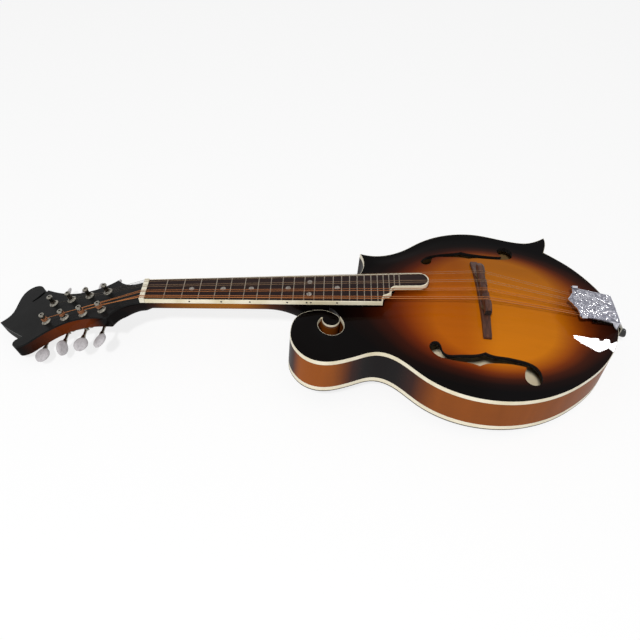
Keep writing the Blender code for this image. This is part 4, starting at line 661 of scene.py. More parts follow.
    for name in ("cream_binding", "cream_edging"):
        cream = add(name, specular_ior_level=0.35, coat_weight=0.15)
        aged = cream.noise(cream.spot(), 35.0, 4.0)
        colour = cream.blend(aged.fade(0.35, 0.75), "e4dcc6", "cfc4a4")
        if name == "cream_binding":
            x, y, z = (cream.axis(letter) for letter in "XYZ")
            heel = (x - FRONT_X) * 0.681 + (y + 0.0185) * 0.732
            sprayed = heel.fade(-0.0004, 0.0002) * heel.fade(0.0075, 0.0070) * y.fade(-0.0290, -0.0280)
            curl = eye_square(cream).fade(0.000106, 0.000098)
            colour = cream.blend(curl * z.fade(-0.0022, -0.0026), colour, "5a2c10")
            colour = cream.blend(sprayed * y.fade(0.0000, -0.0010), colour, "080606")
        cream.set(base_color=colour, roughness=0.28 + aged * 0.15)

    bone = add("bone_nut", roughness=0.30, specular_ior_level=0.4)
    veins = bone.noise(bone.pulled("y", 0.3), 240.0)
    bone.set(base_color=bone.blend(veins.fade(0.4, 0.8), "ddd7c4", "c4bca2"))

    for name, along, scale, gloss, rough, codes in (
            ("rosewood_board", "x", 420.0, 0.12, 0.40, ("140c0c", "201413", "301e1a")),
            ("rosewood_bridge", "y", 400.0, 0.25, 0.38, ("2a1610", "42281e", "603c2c"))):
        wood = add(name, specular_ior_level=gloss)
        streaks = wood.noise(wood.pulled(along, 0.05), scale, 5.0, 0.65)
        pores = wood.cells(wood.pulled(along, 0.12), 900.0).fade(0.16, 0.02)
        colour = wood.ramp(streaks, *zip((0.25, 0.5, 0.75), codes))
        wood.set(base_color=wood.tone(colour, 1.0 - pores * 0.5), roughness=rough + streaks * 0.25)
        wood.bump(streaks - pores, 0.00012, 0.5)

    for name, along, pull, scale, detail, light, deep, rough, worn in (
            ("nickel_fret", "y", 0.4, 500.0, 3.0, "a59a8c", "7d7266", 0.18, 0.18),
            ("chrome", "x", 1.0, 160.0, 4.0, "d6d6dc", "acacb4", 0.06, 0.12),
            # A brass tone painted dark so the thumbwheels and studs under the saddle show no glints: painted
            # shade.
            ("dull_brass", "x", 1.0, 300.0, 4.0, "3a2f20", "6a5638", 0.35, 0.20),
            ("plain_steel", "x", 0.02, 4000.0, 3.0, "c9c7c4", "9a9896", 0.20, 0.15),
            ("warm_steel", "x", 0.02, 4000.0, 3.0, "b09070", "7c6248", 0.20, 0.15),
            # The same plain steel, painted dark for the runs and coils on the headstock: painted shade.
            ("dark_steel", "x", 0.02, 4000.0, 3.0, "4e453c", "342d26", 0.25, 0.15)):
        metal = add(name, metallic=1.0)
        smear = metal.noise(metal.pulled(along, pull), scale, detail)
        metal.set(base_color=metal.blend(smear, light, deep), roughness=rough + smear * worn)

    # Nickel with mottled wear, painted dark to stand for reflections of a dark room: painted reflection.
    nickel = add("aged_nickel", metallic=1.0)
    smear = nickel.noise(nickel.spot(), 420.0, 4.0)
    nickel.set(base_color=nickel.ramp(smear, (0.30, "55524a"), (0.52, "858178"), (0.72, "b6b2a5")),
               roughness=0.10 + smear * 0.20)

    cover = add("engraved_chrome", metallic=1.0)
    relief = cover.node("Attribute", {"attribute_name": "relief"}, output="Fac")
    stipple = cover.cells(cover.spot(), 1500.0).fade(0.10, 0.45)
    ground = relief.fade(0.52, 0.20)
    worn = cover.noise(cover.spot(), 460.0, 2.0)
    shade = cover.blend(ground * (0.45 + stipple * 0.25) + worn.fade(0.42, 0.60) * 0.35, "cfcfd7", "71717d")
    cover.set(base_color=shade, roughness=0.24 + ground * 0.16)
    cover.bump(stipple * ground, 0.00008, 0.8)

    for name, light, deep in (("bronze_wound", "cc8650", "7a4626"), ("copper_wound", "b47c58", "603824")):
        wound = add(name, metallic=1.0)
        # The winding is painted darker in the grooves between turns and lighter on the crests: painted shade
        # and highlight, beside the bump.
        wave = wound.node("Math", {"operation": "PINGPONG"}, {0: wound.axis("X", "UV"), 1: 0.5}) * 2.0
        wound.set(base_color=wound.blend(wave.fade(0.0, 0.5), deep, light), roughness=0.30 - wave * 0.08)
        wound.bump(wave, 0.00012, 0.7)

    pearl = add("pearloid", specular_ior_level=0.35, coat_weight=0.15)
    swirl = pearl.noise(pearl.spot(), 190.0, 3.0, 0.6, 1.6)
    flakes = pearl.cells(pearl.spot(), 260.0)
    tint = pearl.ramp(swirl * 0.8 + flakes * 0.2, (0.25, "a19d9f"), (0.45, "b1adaf"), (0.62, "bfbbbd"),
                      (0.8, "aba7a9"))
    pearl.set(base_color=tint, roughness=0.16 + swirl * 0.15)

    shell = add("shell_dot", roughness=0.25, specular_ior_level=0.5)
    lustre = shell.noise(shell.pulled("y", 0.5), 420.0, 3.0, 0.5, 1.2)
    shell.set(base_color=shell.ramp(lustre, (0.3, "5e5852"), (0.5, "7c756e"), (0.7, "9a938a")))
    return made


FINISH = make_finishes()


# Mesh building

SLOTS = {finish: slot for slot, finishes in {
    "sunburst": ("sunburst_spruce",),
    "maple": ("rim_maple", "back_maple", "neck_maple", "head_maple"),
    "black_lacquer": ("black_face", "black_edge_and_painted_shade", "black_peg"),
    "bare_wood": ("spruce_painted_shade", "bare_maple"),
    "cream": ("cream_binding", "cream_edging"),
    "bone": ("bone_nut",),
    "ebony": ("rosewood_board", "rosewood_bridge"),
    "steel": ("nickel_fret", "plain_steel"),
    "chrome": ("aged_nickel", "chrome", "dull_brass", "engraved_chrome"),
    "plain_steel": ("warm_steel", "dark_steel"),
    "bronze": ("bronze_wound", "copper_wound"),
    "pearl": ("pearloid", "shell_dot"),
}.items() for finish in finishes}


WINDING_PITCH = 0.0005


def new_object(name, data):
    made = bpy.data.objects.new(name, data)
    bpy.context.scene.collection.objects.link(made)
    return made


def mesh_of(bm, name, join=True):
    if join:
        bmesh.ops.remove_doubles(bm, verts=bm.verts, dist=1e-6)
    bmesh.ops.recalc_face_normals(bm, faces=bm.faces)
    mesh = bpy.data.meshes.new(name)
    bm.to_mesh(mesh)
    bm.free()
    return mesh


def give_finish(mesh, finishes):
    for finish in finishes:
        mesh.materials.append(FINISH[finish].material)
    if len(finishes) == 1:
        mesh.polygons.foreach_set("material_index", [0] * len(mesh.polygons))


def soften(piece, width):
    """Rounded edges, as after sanding and buffing."""
    bevel = piece.modifiers.new("softened", "BEVEL")
    bevel.width = width
    bevel.segments = 2
    bevel.limit_method = "ANGLE"
    bevel.angle_limit = math.radians(32.0)
    bevel.harden_normals = True


def place_piece(name, form, place, finishes, body="instrument", stands_for="", sharp=35.0, bevel=0.0):
    """An object for a form built in its place's frame, riding on a body, with one finish or several."""
    mesh = mesh_of(form, name) if isinstance(form, bmesh.types.BMesh) else form
    names = [finishes] if isinstance(finishes, str) else finishes
    give_finish(mesh, names)
    mesh.shade_smooth()
    mesh.set_sharp_from_angle(angle=math.radians(sharp))
    piece = new_object(name, mesh)
    piece.matrix_world = place
    if body:
        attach(piece, body)
    if stands_for:
        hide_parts(stands_for)
    if bevel:
        soften(piece, bevel)
    return piece


def add_slab(bm, outer, holes, low, high, filling=()):
    """Closed slab; faces are marked 0 above, 1 below, 2 on the outer wall and 3 on hole walls."""
    points, triangles = triangulate(outer, holes, filling)
    low_z = low(points) if callable(low) else [low] * len(points)
    high_z = high(points) if callable(high) else [high] * len(points)
    bottom = [bm.verts.new((x, y, z)) for (x, y), z in zip(points, low_z)]
    top = [bm.verts.new((x, y, z)) for (x, y), z in zip(points, high_z)]
    edges = set()
    for a, b, c in triangles:
        bm.faces.new((top[a], top[b], top[c])).material_index = 0
        bm.faces.new((bottom[c], bottom[b], bottom[a])).material_index = 1
        edges |= {(a, b), (b, c), (c, a)}
    count = len(outer)
    for a, b in edges:
        if (b, a) not in edges:
            wall = bm.faces.new((top[b], top[a], bottom[a], bottom[b]))
            wall.material_index = 2 if a < count and b < count else 3


def slab(name, outer, holes, low, high, place, finishes, filling=(), **more):
    """finishes: one name, or four for above, below, outer wall and hole walls."""
    bm = bmesh.new()
    add_slab(bm, outer, holes, low, high, filling)
    place_piece(name, bm, place, finishes, **more)


def add_loft(bm, sections, caps=True):
    rings = [[bm.verts.new(point) for point in section] for section in sections]
    count = len(rings[0])
    faces = []
    for first, second in zip(rings, rings[1:]):
        for place in range(count):
            following = (place + 1) % count
            faces.append(bm.faces.new((first[place], first[following], second[following], second[place])))
    if caps:
        bm.faces.new(list(reversed(rings[0])))
        bm.faces.new(rings[-1])
    return faces


def lofted(name, sections, place, finish, caps=True, **more):
    bm = bmesh.new()
    add_loft(bm, sections, caps)
    place_piece(name, bm, place, finish, **more)


def circling(turns, count):
    """Share run through and turn reached at each of count steps."""
    return [(step / count, 2.0 * math.pi * turns * step / count) for step in range(count + 1)]


def ring(radii, height=0.0):
    """Loop round the z axis with one radius for each step."""
    turns = [turn for _, turn in circling(1.0, len(radii))]
    return [(*polar(radius, turn), height) for radius, turn in zip(radii, turns)]


def turned_rings(profile, count):
    """Rings round the z axis from (radius, height) pairs."""
    return [ring([radius] * count, height) for radius, height in profile]


def turned(name, profile, place, finish, count=32, bored=False, **more):
    """Solid turned on the z axis; bored closes it round a hole."""
    sections = turned_rings(profile + profile[:1] if bored else profile, count)
    lofted(name, sections, place, finish, not bored, **more)


def combine(parts, operation):
    """One mesh from several by exact booleans."""
    pieces = [new_object(f"part_{index}", mesh) for index, mesh in enumerate(parts)]
    for piece in pieces[1:]:
        cut = pieces[0].modifiers.new("join", "BOOLEAN")
        cut.operation = operation
        cut.object = piece
        cut.solver = "EXACT"
    bpy.context.view_layer.update()
    seen = pieces[0].evaluated_get(bpy.context.evaluated_depsgraph_get())
    mesh = bpy.data.meshes.new_from_object(seen)
    for piece in pieces:
        bpy.data.objects.remove(piece)
    return mesh


def wire(name, points, radius, finish, sides=8, **more):
    """Round wire along points; its UV counts winding turns along the length."""
    points = [Vector(point) for point in points]
    bm = bmesh.new()
    layer = bm.loops.layers.uv.new("turns")
    side = (points[1] - points[0]).orthogonal().normalized()
    sections, run, total = [], [], 0.0
    for index, point in enumerate(points):
        before = points[max(index - 1, 0)]
        after = points[min(index + 1, len(points) - 1)]
        heading = (after - before).normalized()
        side = (side - heading * side.dot(heading)).normalized()
        other = heading.cross(side)
        total += (point - before).length
        run.append(total / WINDING_PITCH)
        sections.append([point + x * side + y * other for x, y, _ in ring([radius] * sides)])
    for index, face in enumerate(add_loft(bm, sections)):
        piece, step = divmod(index, sides)
        for loop, length in zip(face.loops, (run[piece], run[piece], run[piece + 1], run[piece + 1])):
            loop[layer].uv = (length, step / sides)
    return place_piece(name, mesh_of(bm, name, False), BODY, finish, **more)


# Body

def make_body():
    inner = inset(OUTLINE, BINDING_WIDTH)
    grid = filling_grid(inner, F_HOLES, 0.0042, 0.0020)
    slab("top", inner, F_HOLES, top_underside, top_surface, BODY,
         ["sunburst_spruce", "spruce_painted_shade", "sunburst_spruce", "black_edge_and_painted_shade"], grid,
         stands_for="top_plate", sharp=50.0)
    slab("top_edge_binding", OUTLINE, [inner], RIM_TOP, 0.0, BODY, "cream_binding", bevel=0.0003,
         stands_for="top_binding")
    slab("sides", OUTLINE, [inset(OUTLINE, RIM_WALL)], RIM_BOTTOM, RIM_TOP, BODY,
         ["spruce_painted_shade", "spruce_painted_shade", "rim_maple", "spruce_painted_shade"], stands_for="rim")
    slab("back_edge_binding", OUTLINE, [inner], BACK_Z, RIM_BOTTOM, BODY, "cream_edging", bevel=0.0003,
         stands_for="back_binding")

    flat = [(REST_X + 0.011 * x, 0.009 * y) for x, y, _ in ring([1.0] * 16)]
    grid = [point for point in filling_grid(inner, [], 0.0060, 0.0025)
            if math.hypot(point[0] - REST_X, point[1]) > 0.014]
    bm = bmesh.new()
    add_slab(bm, OUTLINE, [], back_rested, BACK_Z, grid + flat)
    inside_face, outside_face, edge_face = 2, 0, 1
    for face in bm.faces:
        face.material_index = (inside_face, outside_face, edge_face)[face.material_index]
    place_piece("back", bm, BODY, ["back_maple", "black_edge_and_painted_shade", "bare_maple"], stands_for="back_plate",
                sharp=50.0)
    slab("back_lining", inner, [], BACK_Z - 0.0001, back_inside, BODY, "bare_maple", grid, sharp=50.0)


# Neck and headstock

def bulged(value, power):
    """Value between -1 and 1 raised to a power with its sign kept."""
    return math.copysign(abs(value) ** power, value)


def u_section(x, width, top, depth, heel, box):
    """U from one top edge round the underside to the other; box squares its corners."""
    points = []
    for index in range(29):
        turn = math.pi * index / 28.0
        down = abs(math.sin(turn)) ** ((0.9 - 0.35 * heel) * (1.0 - 0.8 * box))
        across = bulged(math.cos(turn), (1.0 - 0.25 * heel) * (1.0 - 0.8 * box))
        narrow = 1.0 - heel * (1.0 - HEEL_FOOT / HEEL_HALF) * down
        points.append((x, width * across * narrow, top - depth * down))
    return points


def neck_section(x):
    nut_x, end = NECK_ON_BODY.translation.x, FRONT_X - GAP
    share = max(0.0, (x - nut_x) / (end - nut_x))
    heel = ease((x - HEEL_START) / (end - HEEL_START)) ** 1.20
    width = board_half_width(max(x - nut_x, 0.0) / FRET_COSINE) + 0.0015
    width += (HEEL_HALF - width) * heel
    near_nut = 1.0 - ease((x - nut_x) / 0.0070)
    depth = NECK_DEPTH + 0.0012 * share + VOLUTE * math.sin(0.2 * math.pi) * near_nut
    depth += (neck_top(x) - (BACK_Z - BACK_LIP) - depth) * heel
    return u_section(x, width, neck_top(x), depth, heel, 0.25 * near_nut)


def head_plane(x, drop):
    """Height in the body frame of the plane a drop below the headstock's face."""
    start = HEAD_ON_BODY @ Vector((0.0, 0.0, -drop))
    along = HEAD_ON_BODY.to_3x3() @ Vector((1.0, 0.0, 0.0))
    return start.z + (x - start.x) * along.z / along.x


def head_underside(points):
    """Headstock's lower face, rising to a thin edge where the neck's round back takes over."""
    full = smooth_step((-np.array(points, float)[:, 0] - 0.0200) / 0.0080)
    return -HEAD_ROOT - (HEAD_THICKNESS - HEAD_ROOT) * full


def volute_sections(root, outline):
    """Neck behind the nut, from the headstock's thickness to the neck's own depth."""
    near = sorted((x, -y) for x, y in outline if y < 0.0 and x > -0.0405)
    sections = []
    for share in np.linspace(1.0, 0.0, 13):
        x = root - 0.0330 * share
        headward = ease(share * 1.6)
        bulge = math.sin(math.pi * (0.2 + 0.8 * share))
        top = head_plane(x, VENEER + GAP)
        if share == 0.0:
            top = min(neck_top(root), top)
        bottom_neck = neck_top(x) - NECK_DEPTH
        bottom = bottom_neck + (head_plane(x, HEAD_THICKNESS) - bottom_neck) * headward - VOLUTE * bulge
        along = (x - HEAD_ON_BODY.translation.x) / math.cos(math.radians(HEAD_ANGLE + NECK_ANGLE))
        width = float(np.interp(along, *zip(*near))) - 0.0003 + 0.0010 * bulge
        sections.append(u_section(x, width, top, top - bottom, 0.0, 0.25 + 0.7 * headward))
    return sections


def make_neck():
    nut_x = NECK_ON_BODY.translation.x
    outline = head_outline(-NUT_LENGTH - 0.0009)
    stations = np.concatenate([np.linspace(nut_x, HEEL_START - 0.005, 20),
                               np.linspace(HEEL_START, FRONT_X - GAP, 24)])
    shaft, tongue = bmesh.new(), bmesh.new()
    add_loft(shaft, volute_sections(nut_x - NUT_LENGTH, outline) + [neck_section(x) for x in stations])
    for start, end, side in ((FRONT_X - 0.004, 0.0385, -0.0150), (0.0380, 0.0555, 0.0030)):
        stations = np.linspace(start, end, 8)
        low = [(x, max(top_at(x, 0.0), 0.0) + 0.0004) for x in stations]
        high = [(x, neck_top(x)) for x in reversed(stations)]
        add_loft(tongue, [[(x, y, z) for x, z in low + high] for y in (side, 0.0150)])
    mesh = combine([mesh_of(shaft, "neck_shaft"), mesh_of(tongue, "tongue")], "UNION")
    place_piece("neck_and_heel", mesh, BODY, "neck_maple", stands_for="neck", sharp=40.0)

    bm = bmesh.new()
    add_slab(bm, outline, [], head_underside, -VENEER, filling_grid(outline, [], 0.0060, 0.0045))
    low_edges = [edge for edge in bm.edges if {face.material_index for face in edge.link_faces} == {1, 2}]
    bmesh.ops.bevel(bm, geom=low_edges, offset=0.0018, segments=3, profile=0.5, affect="EDGES",
                    clamp_overlap=True)
    place_piece("headstock", bm, HEAD, "head_maple", sharp=45.0, bevel=0.0004)
    slab("headstock_face", outline, [], -VENEER, 0.0, HEAD, "black_face", bevel=0.00025,
         stands_for="headstock_overlay")


def make_frets():
    plan = board_outline(0.0009)
    bm = bmesh.new()
    for number in range(1, 25):
        x = fret_position(number)
        across = [y for y in np.linspace(-0.025, 0.025, 501) if inside([(x, y)], plan)[0]]
        low, high = min(across), max(across)
        ends = ((low, 0.55), (low + 0.0007, 1.0), (high - 0.0007, 1.0), (high, 0.55))
        add_loft(bm, [[(x + FRET_HALF * math.cos(turn), y, FRET_HEIGHT * crown * math.sin(turn) - 0.0001)
                       for _, turn in circling(0.5, 6)] for y, crown in ends])
    place_piece("frets", bm, NECK, "nickel_fret", sharp=60.0)


def make_fingerboard():
    wood = board_outline(WOOD_GROWTH)
    slab("fretboard", wood, [], -BOARD_THICKNESS, 0.0, NECK, "rosewood_board", stands_for="fingerboard")
    slab("fretboard_binding", board_outline(BOUND_GROWTH) + wood[::-1], [], -BOARD_THICKNESS, 0.0, NECK,
         "cream_edging", bevel=0.0003, stands_for="fingerboard_binding")
    make_frets()

    dots, pegs = bmesh.new(), bmesh.new()
    for number in (3, 5, 7, 10, 12, 15):
        x = (fret_position(number) + fret_position(number - 1)) / 2.0
        for y in (-0.0092, 0.0092) if number == 12 else (0.0,):
            add_loft(dots, [[(x + px, y + py, z) for px, py, z in ring([radius] * 28, height)]
                            for radius, height in ((0.0027, -0.0004), (0.0027, 0.00012), (0.0024, 0.0002))])
        edge = -board_half_width(x) - BOUND_GROWTH
        for shift in (-0.0022, 0.0022) if number == 12 else (0.0,):
            add_loft(pegs, [[(x + shift + px, edge - out, -0.0021 + pz) for px, pz, _ in ring([radius] * 16)]
                            for out, radius in ((-0.0006, 0.0010), (0.00008, 0.0010), (0.00016, 0.0007))])
    place_piece("position_dots", dots, NECK, "shell_dot")
    place_piece("side_dots", pegs, NECK, "black_peg")


# Bridge

FOOT_BASS, FOOT_TREBLE = -0.0560, 0.0585
SADDLE_BASS, SADDLE_TREBLE, SADDLE_HALF = -0.0350, 0.0370, 0.0033
# Where each pair crosses the saddle, and how far its crown steps to the rear there
SADDLE_STEPS = ((-0.0145, 0.00080), (-0.0048, -0.00048), (0.0048, 0.00080), (0.0145, -0.00032))
WHEEL_HEIGHT, WHEEL_RIM, THREAD_PITCH = 0.0022, 0.0046, 0.0005


def base_top(y):
    share = ease(1.0 - (abs(y) - 0.02975) / 0.0196)
    return top_at(BRIDGE_X, min(abs(y), 0.0560)) + 0.0038 + 0.0024 * share


def foot_section(y):
    end = ease(min(y - FOOT_BASS, FOOT_TREBLE - y) / 0.0050)
    half, soft = 0.0042 + 0.0001 * end, 0.0008
    low = top_at(BRIDGE_X, y) + 0.0001
    crown = base_top(y) - 0.0006 * (1.0 - end)
    return [(BRIDGE_X + x, y, z) for x, z in (
        (-half, low), (half, low), (half, crown - soft), (half - soft, crown), (soft - half, crown),
        (-half, crown - soft))]


def saddle_section(y):
    end = y / SADDLE_TREBLE if y > 0.0 else y / SADDLE_BASS
    height = BRIDGE_STRING_Z - 0.0030 * max(0.0, (end - 0.80) / 0.20) ** 1.3
    waist = SADDLE_LOW + (BRIDGE_STRING_Z - SADDLE_LOW) * 0.48
    shift = 0.0
    if end <= 0.62:
        shift = sum(step * ease((0.0052 - abs(y - place)) / 0.0006)
                    for place, step in SADDLE_STEPS)
    narrow = 0.0010 + 0.0013 * ease((abs(y) - 0.0205) / 0.0015)
    shoulder, crest = narrow + 0.0009, narrow * 0.6
    return [(BRIDGE_X + x, y, z) for x, z in (
        (-SADDLE_HALF, SADDLE_LOW), (SADDLE_HALF, SADDLE_LOW), (SADDLE_HALF, waist),
        (shift + shoulder, height - 0.0012), (shift + crest, height), (shift - crest, height),
        (shift - shoulder, height - 0.0012), (-SADDLE_HALF, waist))]


def make_bridge():
    lofted("bridge_foot", [foot_section(y) for y in np.linspace(FOOT_BASS, FOOT_TREBLE, 58)], BODY,
           "rosewood_bridge", stands_for="bridge_base", bevel=0.0003)

    bm = bmesh.new()
    add_loft(bm, [saddle_section(y) for y in np.linspace(SADDLE_BASS, SADDLE_TREBLE, 145)])
    # The saddle's two end faces take the black finish: painted shade, as if they stood in shadow.
    for face in bm.faces:
        face.material_index = 1 if len(face.verts) > 4 else 0
    place_piece("saddle_bar", bm, BODY, ["rosewood_bridge", "black_edge_and_painted_shade"], body="saddle",
                stands_for="bridge_saddle", sharp=30.0)

    for name, side in WAY.items():
        post = BODY @ moved(BRIDGE_X, side * STUD_Y, 0.0)
        sections = []
        for radius, height in ((0.0018, 0.0), (0.0040, 0.0), (WHEEL_RIM, 0.0004), (WHEEL_RIM, 0.0018),
                               (0.0040, WHEEL_HEIGHT), (0.0018, WHEEL_HEIGHT)):
            groove, ridge = (-0.00006, 0.00012) if radius == WHEEL_RIM else (0.0, 0.0)
            sections.append(ring([radius + groove, radius + ridge] * 36, height))
        lofted("height_wheel_" + name, sections + sections[:1],
               post @ moved(0.0, 0.0, SADDLE_LOW - GAP - WHEEL_HEIGHT), "dull_brass", False,
               body="wheel_" + name, stands_for="thumbwheel_" + name, sharp=40.0)
        low, top = base_top(STUD_Y) - 0.0036, SADDLE_LOW + 0.0036
        profile = [(0.0011, low)]
        height = low
        while height < top - THREAD_PITCH:
            profile += [(0.0015, height + 0.00012), (0.0012, height + 0.00037)]
            height += THREAD_PITCH
        profile.append((0.0011, top))
        turned("threaded_stud_" + name, profile, post, "dull_brass", 16, stands_for="bridge_stud_" + name,
               sharp=20.0)


# Tailpiece

COVER_FRONT, COVER_REAR = 0.2350, 0.2887
COVER_HALF, COVER_SHEET = 0.0210, 0.0014
HOOK_X = 0.2740
LEAVES = ((0.0500, 0.0075, 110.0), (0.0370, 0.0085, 70.0), (0.0370, 0.0160, 30.0), (0.0350, 0.0015, 20.0),
          (0.0240, 0.0030, 150.0), (0.0230, 0.0105, 60.0), (0.0230, 0.0175, 20.0), (0.0120, 0.0095, 200.0),
          (0.0120, 0.0020, 30.0), (0.0490, 0.0180, 190.0), (0.0520, 0.0120, 250.0), (0.0100, 0.0140, 140.0),
          (0.0420, 0.0010, 170.0), (0.0300, 0.0100, 200.0))
CURLS = ((0.0440, 0.0120, 0.0060, 200.0, 1.5), (0.0315, 0.0060, 0.0046, 20.0, -1.4),
         (0.0285, 0.0152, 0.0044, 160.0, 1.4), (0.0185, 0.0078, 0.0048, 0.0, 1.5),
         (0.0150, 0.0165, 0.0034, 300.0, -1.3), (0.0080, 0.0040, 0.0030, 60.0, 1.2))
STEM = ((0.0530, 0.0030), (0.0480, 0.0050), (0.0400, 0.0065), (0.0350, 0.0110), (0.0260, 0.0110),
        (0.0220, 0.0140), (0.0130, 0.0128), (0.0115, 0.0100))


def cover_top(x):
    return 0.0205 - 0.0087 * (x - COVER_FRONT) / 0.0555


def cover_outline():
    upper = trace([
        (COVER_FRONT, 0.0, 120.0, 60.0),
        (0.2410, 0.0095, 75.0, 20.0),
        (0.2445, 0.0185, 60.0, 120.0),
        (0.2455, 0.0240, 20.0),
        (0.2515, 0.0218, -40.0, -3.0),
        (COVER_REAR, COVER_HALF, -3.0, -90.0),
    ], 10.0, 0.004, closed=False)
    return [(x, -y) for x, y in upper[1:]] + [(x, y) for x, y in reversed(upper)]


def spiral(x, y, radius, start, turns):
    """A curl that winds in towards its middle; fewer than no turns wind the other way."""
    return [polar(radius * (1.0 - 0.86 * share), math.radians(start) + turn, (x, y))
            for share, turn in circling(turns, 24)]


def leaf(x, y, heading, length):
    return [polar(length * share, math.radians(heading) + 0.5 * share, (x, y))
            for share in (0.0, 0.25, 0.5, 0.75, 1.0)]


def ornament(points):
    """Height from 0 to 1 of a traditional leaf-and-scroll pattern, the same on both sides of the middle."""
    points = np.array(points, float)
    local = np.stack([points[:, 0] - 0.2370, np.abs(points[:, 1])], axis=1)
    strokes = [(spiral(*curl), 0.0005) for curl in CURLS] + [(STEM, 0.0005)]
    for x, y, heading in LEAVES:
        strokes += [(leaf(x, y, heading, 0.0040), 0.0007), (leaf(x, y, heading + 55.0, 0.0032), 0.0006),
                    (leaf(x, y, heading - 60.0, 0.0024), 0.0005)]
    height = np.zeros(len(points))
    for line, width in strokes:
        away = distance_to_line(local, line, False) / width
        height = np.maximum(height, np.sqrt(np.clip(1.0 - away * away, 0.0, 1.0)))
    flower = local - (0.0270, 0.0)
    turn = np.arctan2(flower[:, 1], flower[:, 0])
    reach = np.hypot(flower[:, 1], flower[:, 0])
    petals = smooth_step((0.0024 + 0.0007 * np.cos(8.0 * turn) - reach) / 0.0005)
    height = np.maximum(height, petals * (0.55 + 0.45 * smooth_step(reach / 0.0014)))
    border = distance_to_line(points, cover_outline())
    rim = smooth_step((0.0005 - border) / 0.0002)
    return np.maximum(height * smooth_step((border - 0.0016) / 0.0004), rim)


def crowned(points):
    """The cover's face before the engraving."""
    points = np.array(points, float)
    return cover_top(points[:, 0]) + 0.0012 * np.clip(1.0 - (points[:, 1] / COVER_HALF) ** 2, 0.0, 1.0)


def make_cover():
    outline = cover_outline()
    spacing = 0.00042
    bm = bmesh.new()
    add_slab(bm, outline, [], lambda points: crowned(points) - COVER_SHEET,
             lambda points: crowned(points) + 0.00030 * (ornament(points) - 1.0),
             filling_grid(outline, [], spacing, spacing * 0.7))
    half, legs = 0.0209, 0.0178
    top = cover_top(COVER_REAR) - 0.0002
    wall = [(-half, 0.0012), (-legs, 0.0012), (-legs, 0.0078), (legs, 0.0078), (legs, 0.0012),
            (half, 0.0012), (half, top), (-half, top)]
    add_loft(bm, [[(x, y, z) for y, z in wall] for x in (COVER_REAR - 0.0010, COVER_REAR)])
    cheek = [(0.2800, cover_top(0.2800) - 0.0008), (0.2845, 0.0050), (COVER_REAR - 0.0002, 0.0014),
             (COVER_REAR - 0.0002, top)]
    for side in (-1.0, 1.0):
        add_loft(bm, [[(x, side * y, z) for x, z in cheek] for y in (half - 0.0008, half)])
    mesh = mesh_of(bm, "engraved_cover")
    relief = mesh.attributes.new("relief", "FLOAT", "POINT")
    corners = np.array([corner.co for corner in mesh.vertices], float)
    relief.data.foreach_set("value", ornament(corners[:, :2]).astype(np.float32))
    place_piece("engraved_cover", mesh, BODY, "engraved_chrome", body="cover",
                stands_for="tailpiece_cover", sharp=55.0)

    rolled = []
    for shell in (0.0, 0.00045):
        for step in range(29):
            turn = math.radians(-90.0 + 430.0 * step / 28.0)
            rolled.append(polar(0.0021 - 0.0011 * step / 28.0 - shell, turn))
    rolled[29:] = reversed(rolled[29:])
    for name, side in WAY.items():
        sections = [[(x, side * (0.0222 + y), cover_top(0.2480) + 0.0002 + z) for y, z in rolled]
                    for x in (0.2452, 0.2460, 0.2500, 0.2508)]
        lofted("cover_curl_" + name, sections, BODY, "chrome", body="cover", sharp=50.0)


def make_tailpiece():
    make_cover()
    dress(NODES["tailpiece_bracket"], "aged_nickel", 0.0003)
    profile = [(0.0010, -0.0210), (0.0026, -0.0200), (0.0028, 0.0022), (0.0050, 0.0022), (0.0052, 0.0030),
               (0.0044, 0.0052), (0.0037, 0.0085), (0.0040, 0.0115), (0.0048, 0.0140), (0.0050, 0.0158),
               (0.0046, 0.0168), (0.0036, 0.0172)]
    place = BODY @ moved(TAIL_X, 0.0, (RIM_TOP + RIM_BOTTOM) / 2.0) @ turn_y(90.0)
    turned("strap_button", profile, place, "black_peg", stands_for="end_pin")
    for index, (y, z) in enumerate(((-0.0105, -0.0120), (0.0105, -0.0120), (0.0, -0.0300))):
        place = BODY @ moved(TAIL_X + 0.0019, y, z) @ turn_y(90.0)
        screw(f"bracket_screw_{index + 1}", place, 0.0021)


SCREWS = {}


def screw(name, place, radius):
    """Round-headed slotted wood screw seen from outside."""
    if radius not in SCREWS:
        head, cutter = bmesh.new(), bmesh.new()
        add_loft(head, turned_rings([(radius * 0.6, -0.0010), (radius, 0.0), (radius * 0.96, radius * 0.22),
                                     (radius * 0.75, radius * 0.42), (radius * 0.4, radius * 0.55),
                                     (radius * 0.08, radius * 0.6)], 24))
        long, wide = radius * 1.1, radius * 0.13
        add_loft(cutter, [[(-long, -wide, z), (long, -wide, z), (long, wide, z), (-long, wide, z)]
                          for z in (radius * 0.24, radius)])
        SCREWS[radius] = combine([mesh_of(head, "screw"), mesh_of(cutter, "slot")], "DIFFERENCE")
    place_piece(name, SCREWS[radius].copy(), place, "chrome", sharp=30.0)


def dress(node, finish, bevel):
    """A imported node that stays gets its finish, and its edges broken."""
    node.data.materials.clear()
    give_finish(node.data, [finish])
    soften(node, bevel)


# Tuners

PLATE_TOP, PLATE_SHEET = -0.0148, 0.0010
GEAR_TOP, GEAR_HEIGHT = -0.0161, 0.0034
SHAFT_Z = -0.0178
WORM_OFFSET = 0.0049
POST_WAIST, POST_BORE = 0.0023, 0.0031
BUTTON_TURNS = {"bass": (-10.0, 22.0, 76.0, 14.0), "treble": (-48.0, -62.0, -54.0, -40.0)}


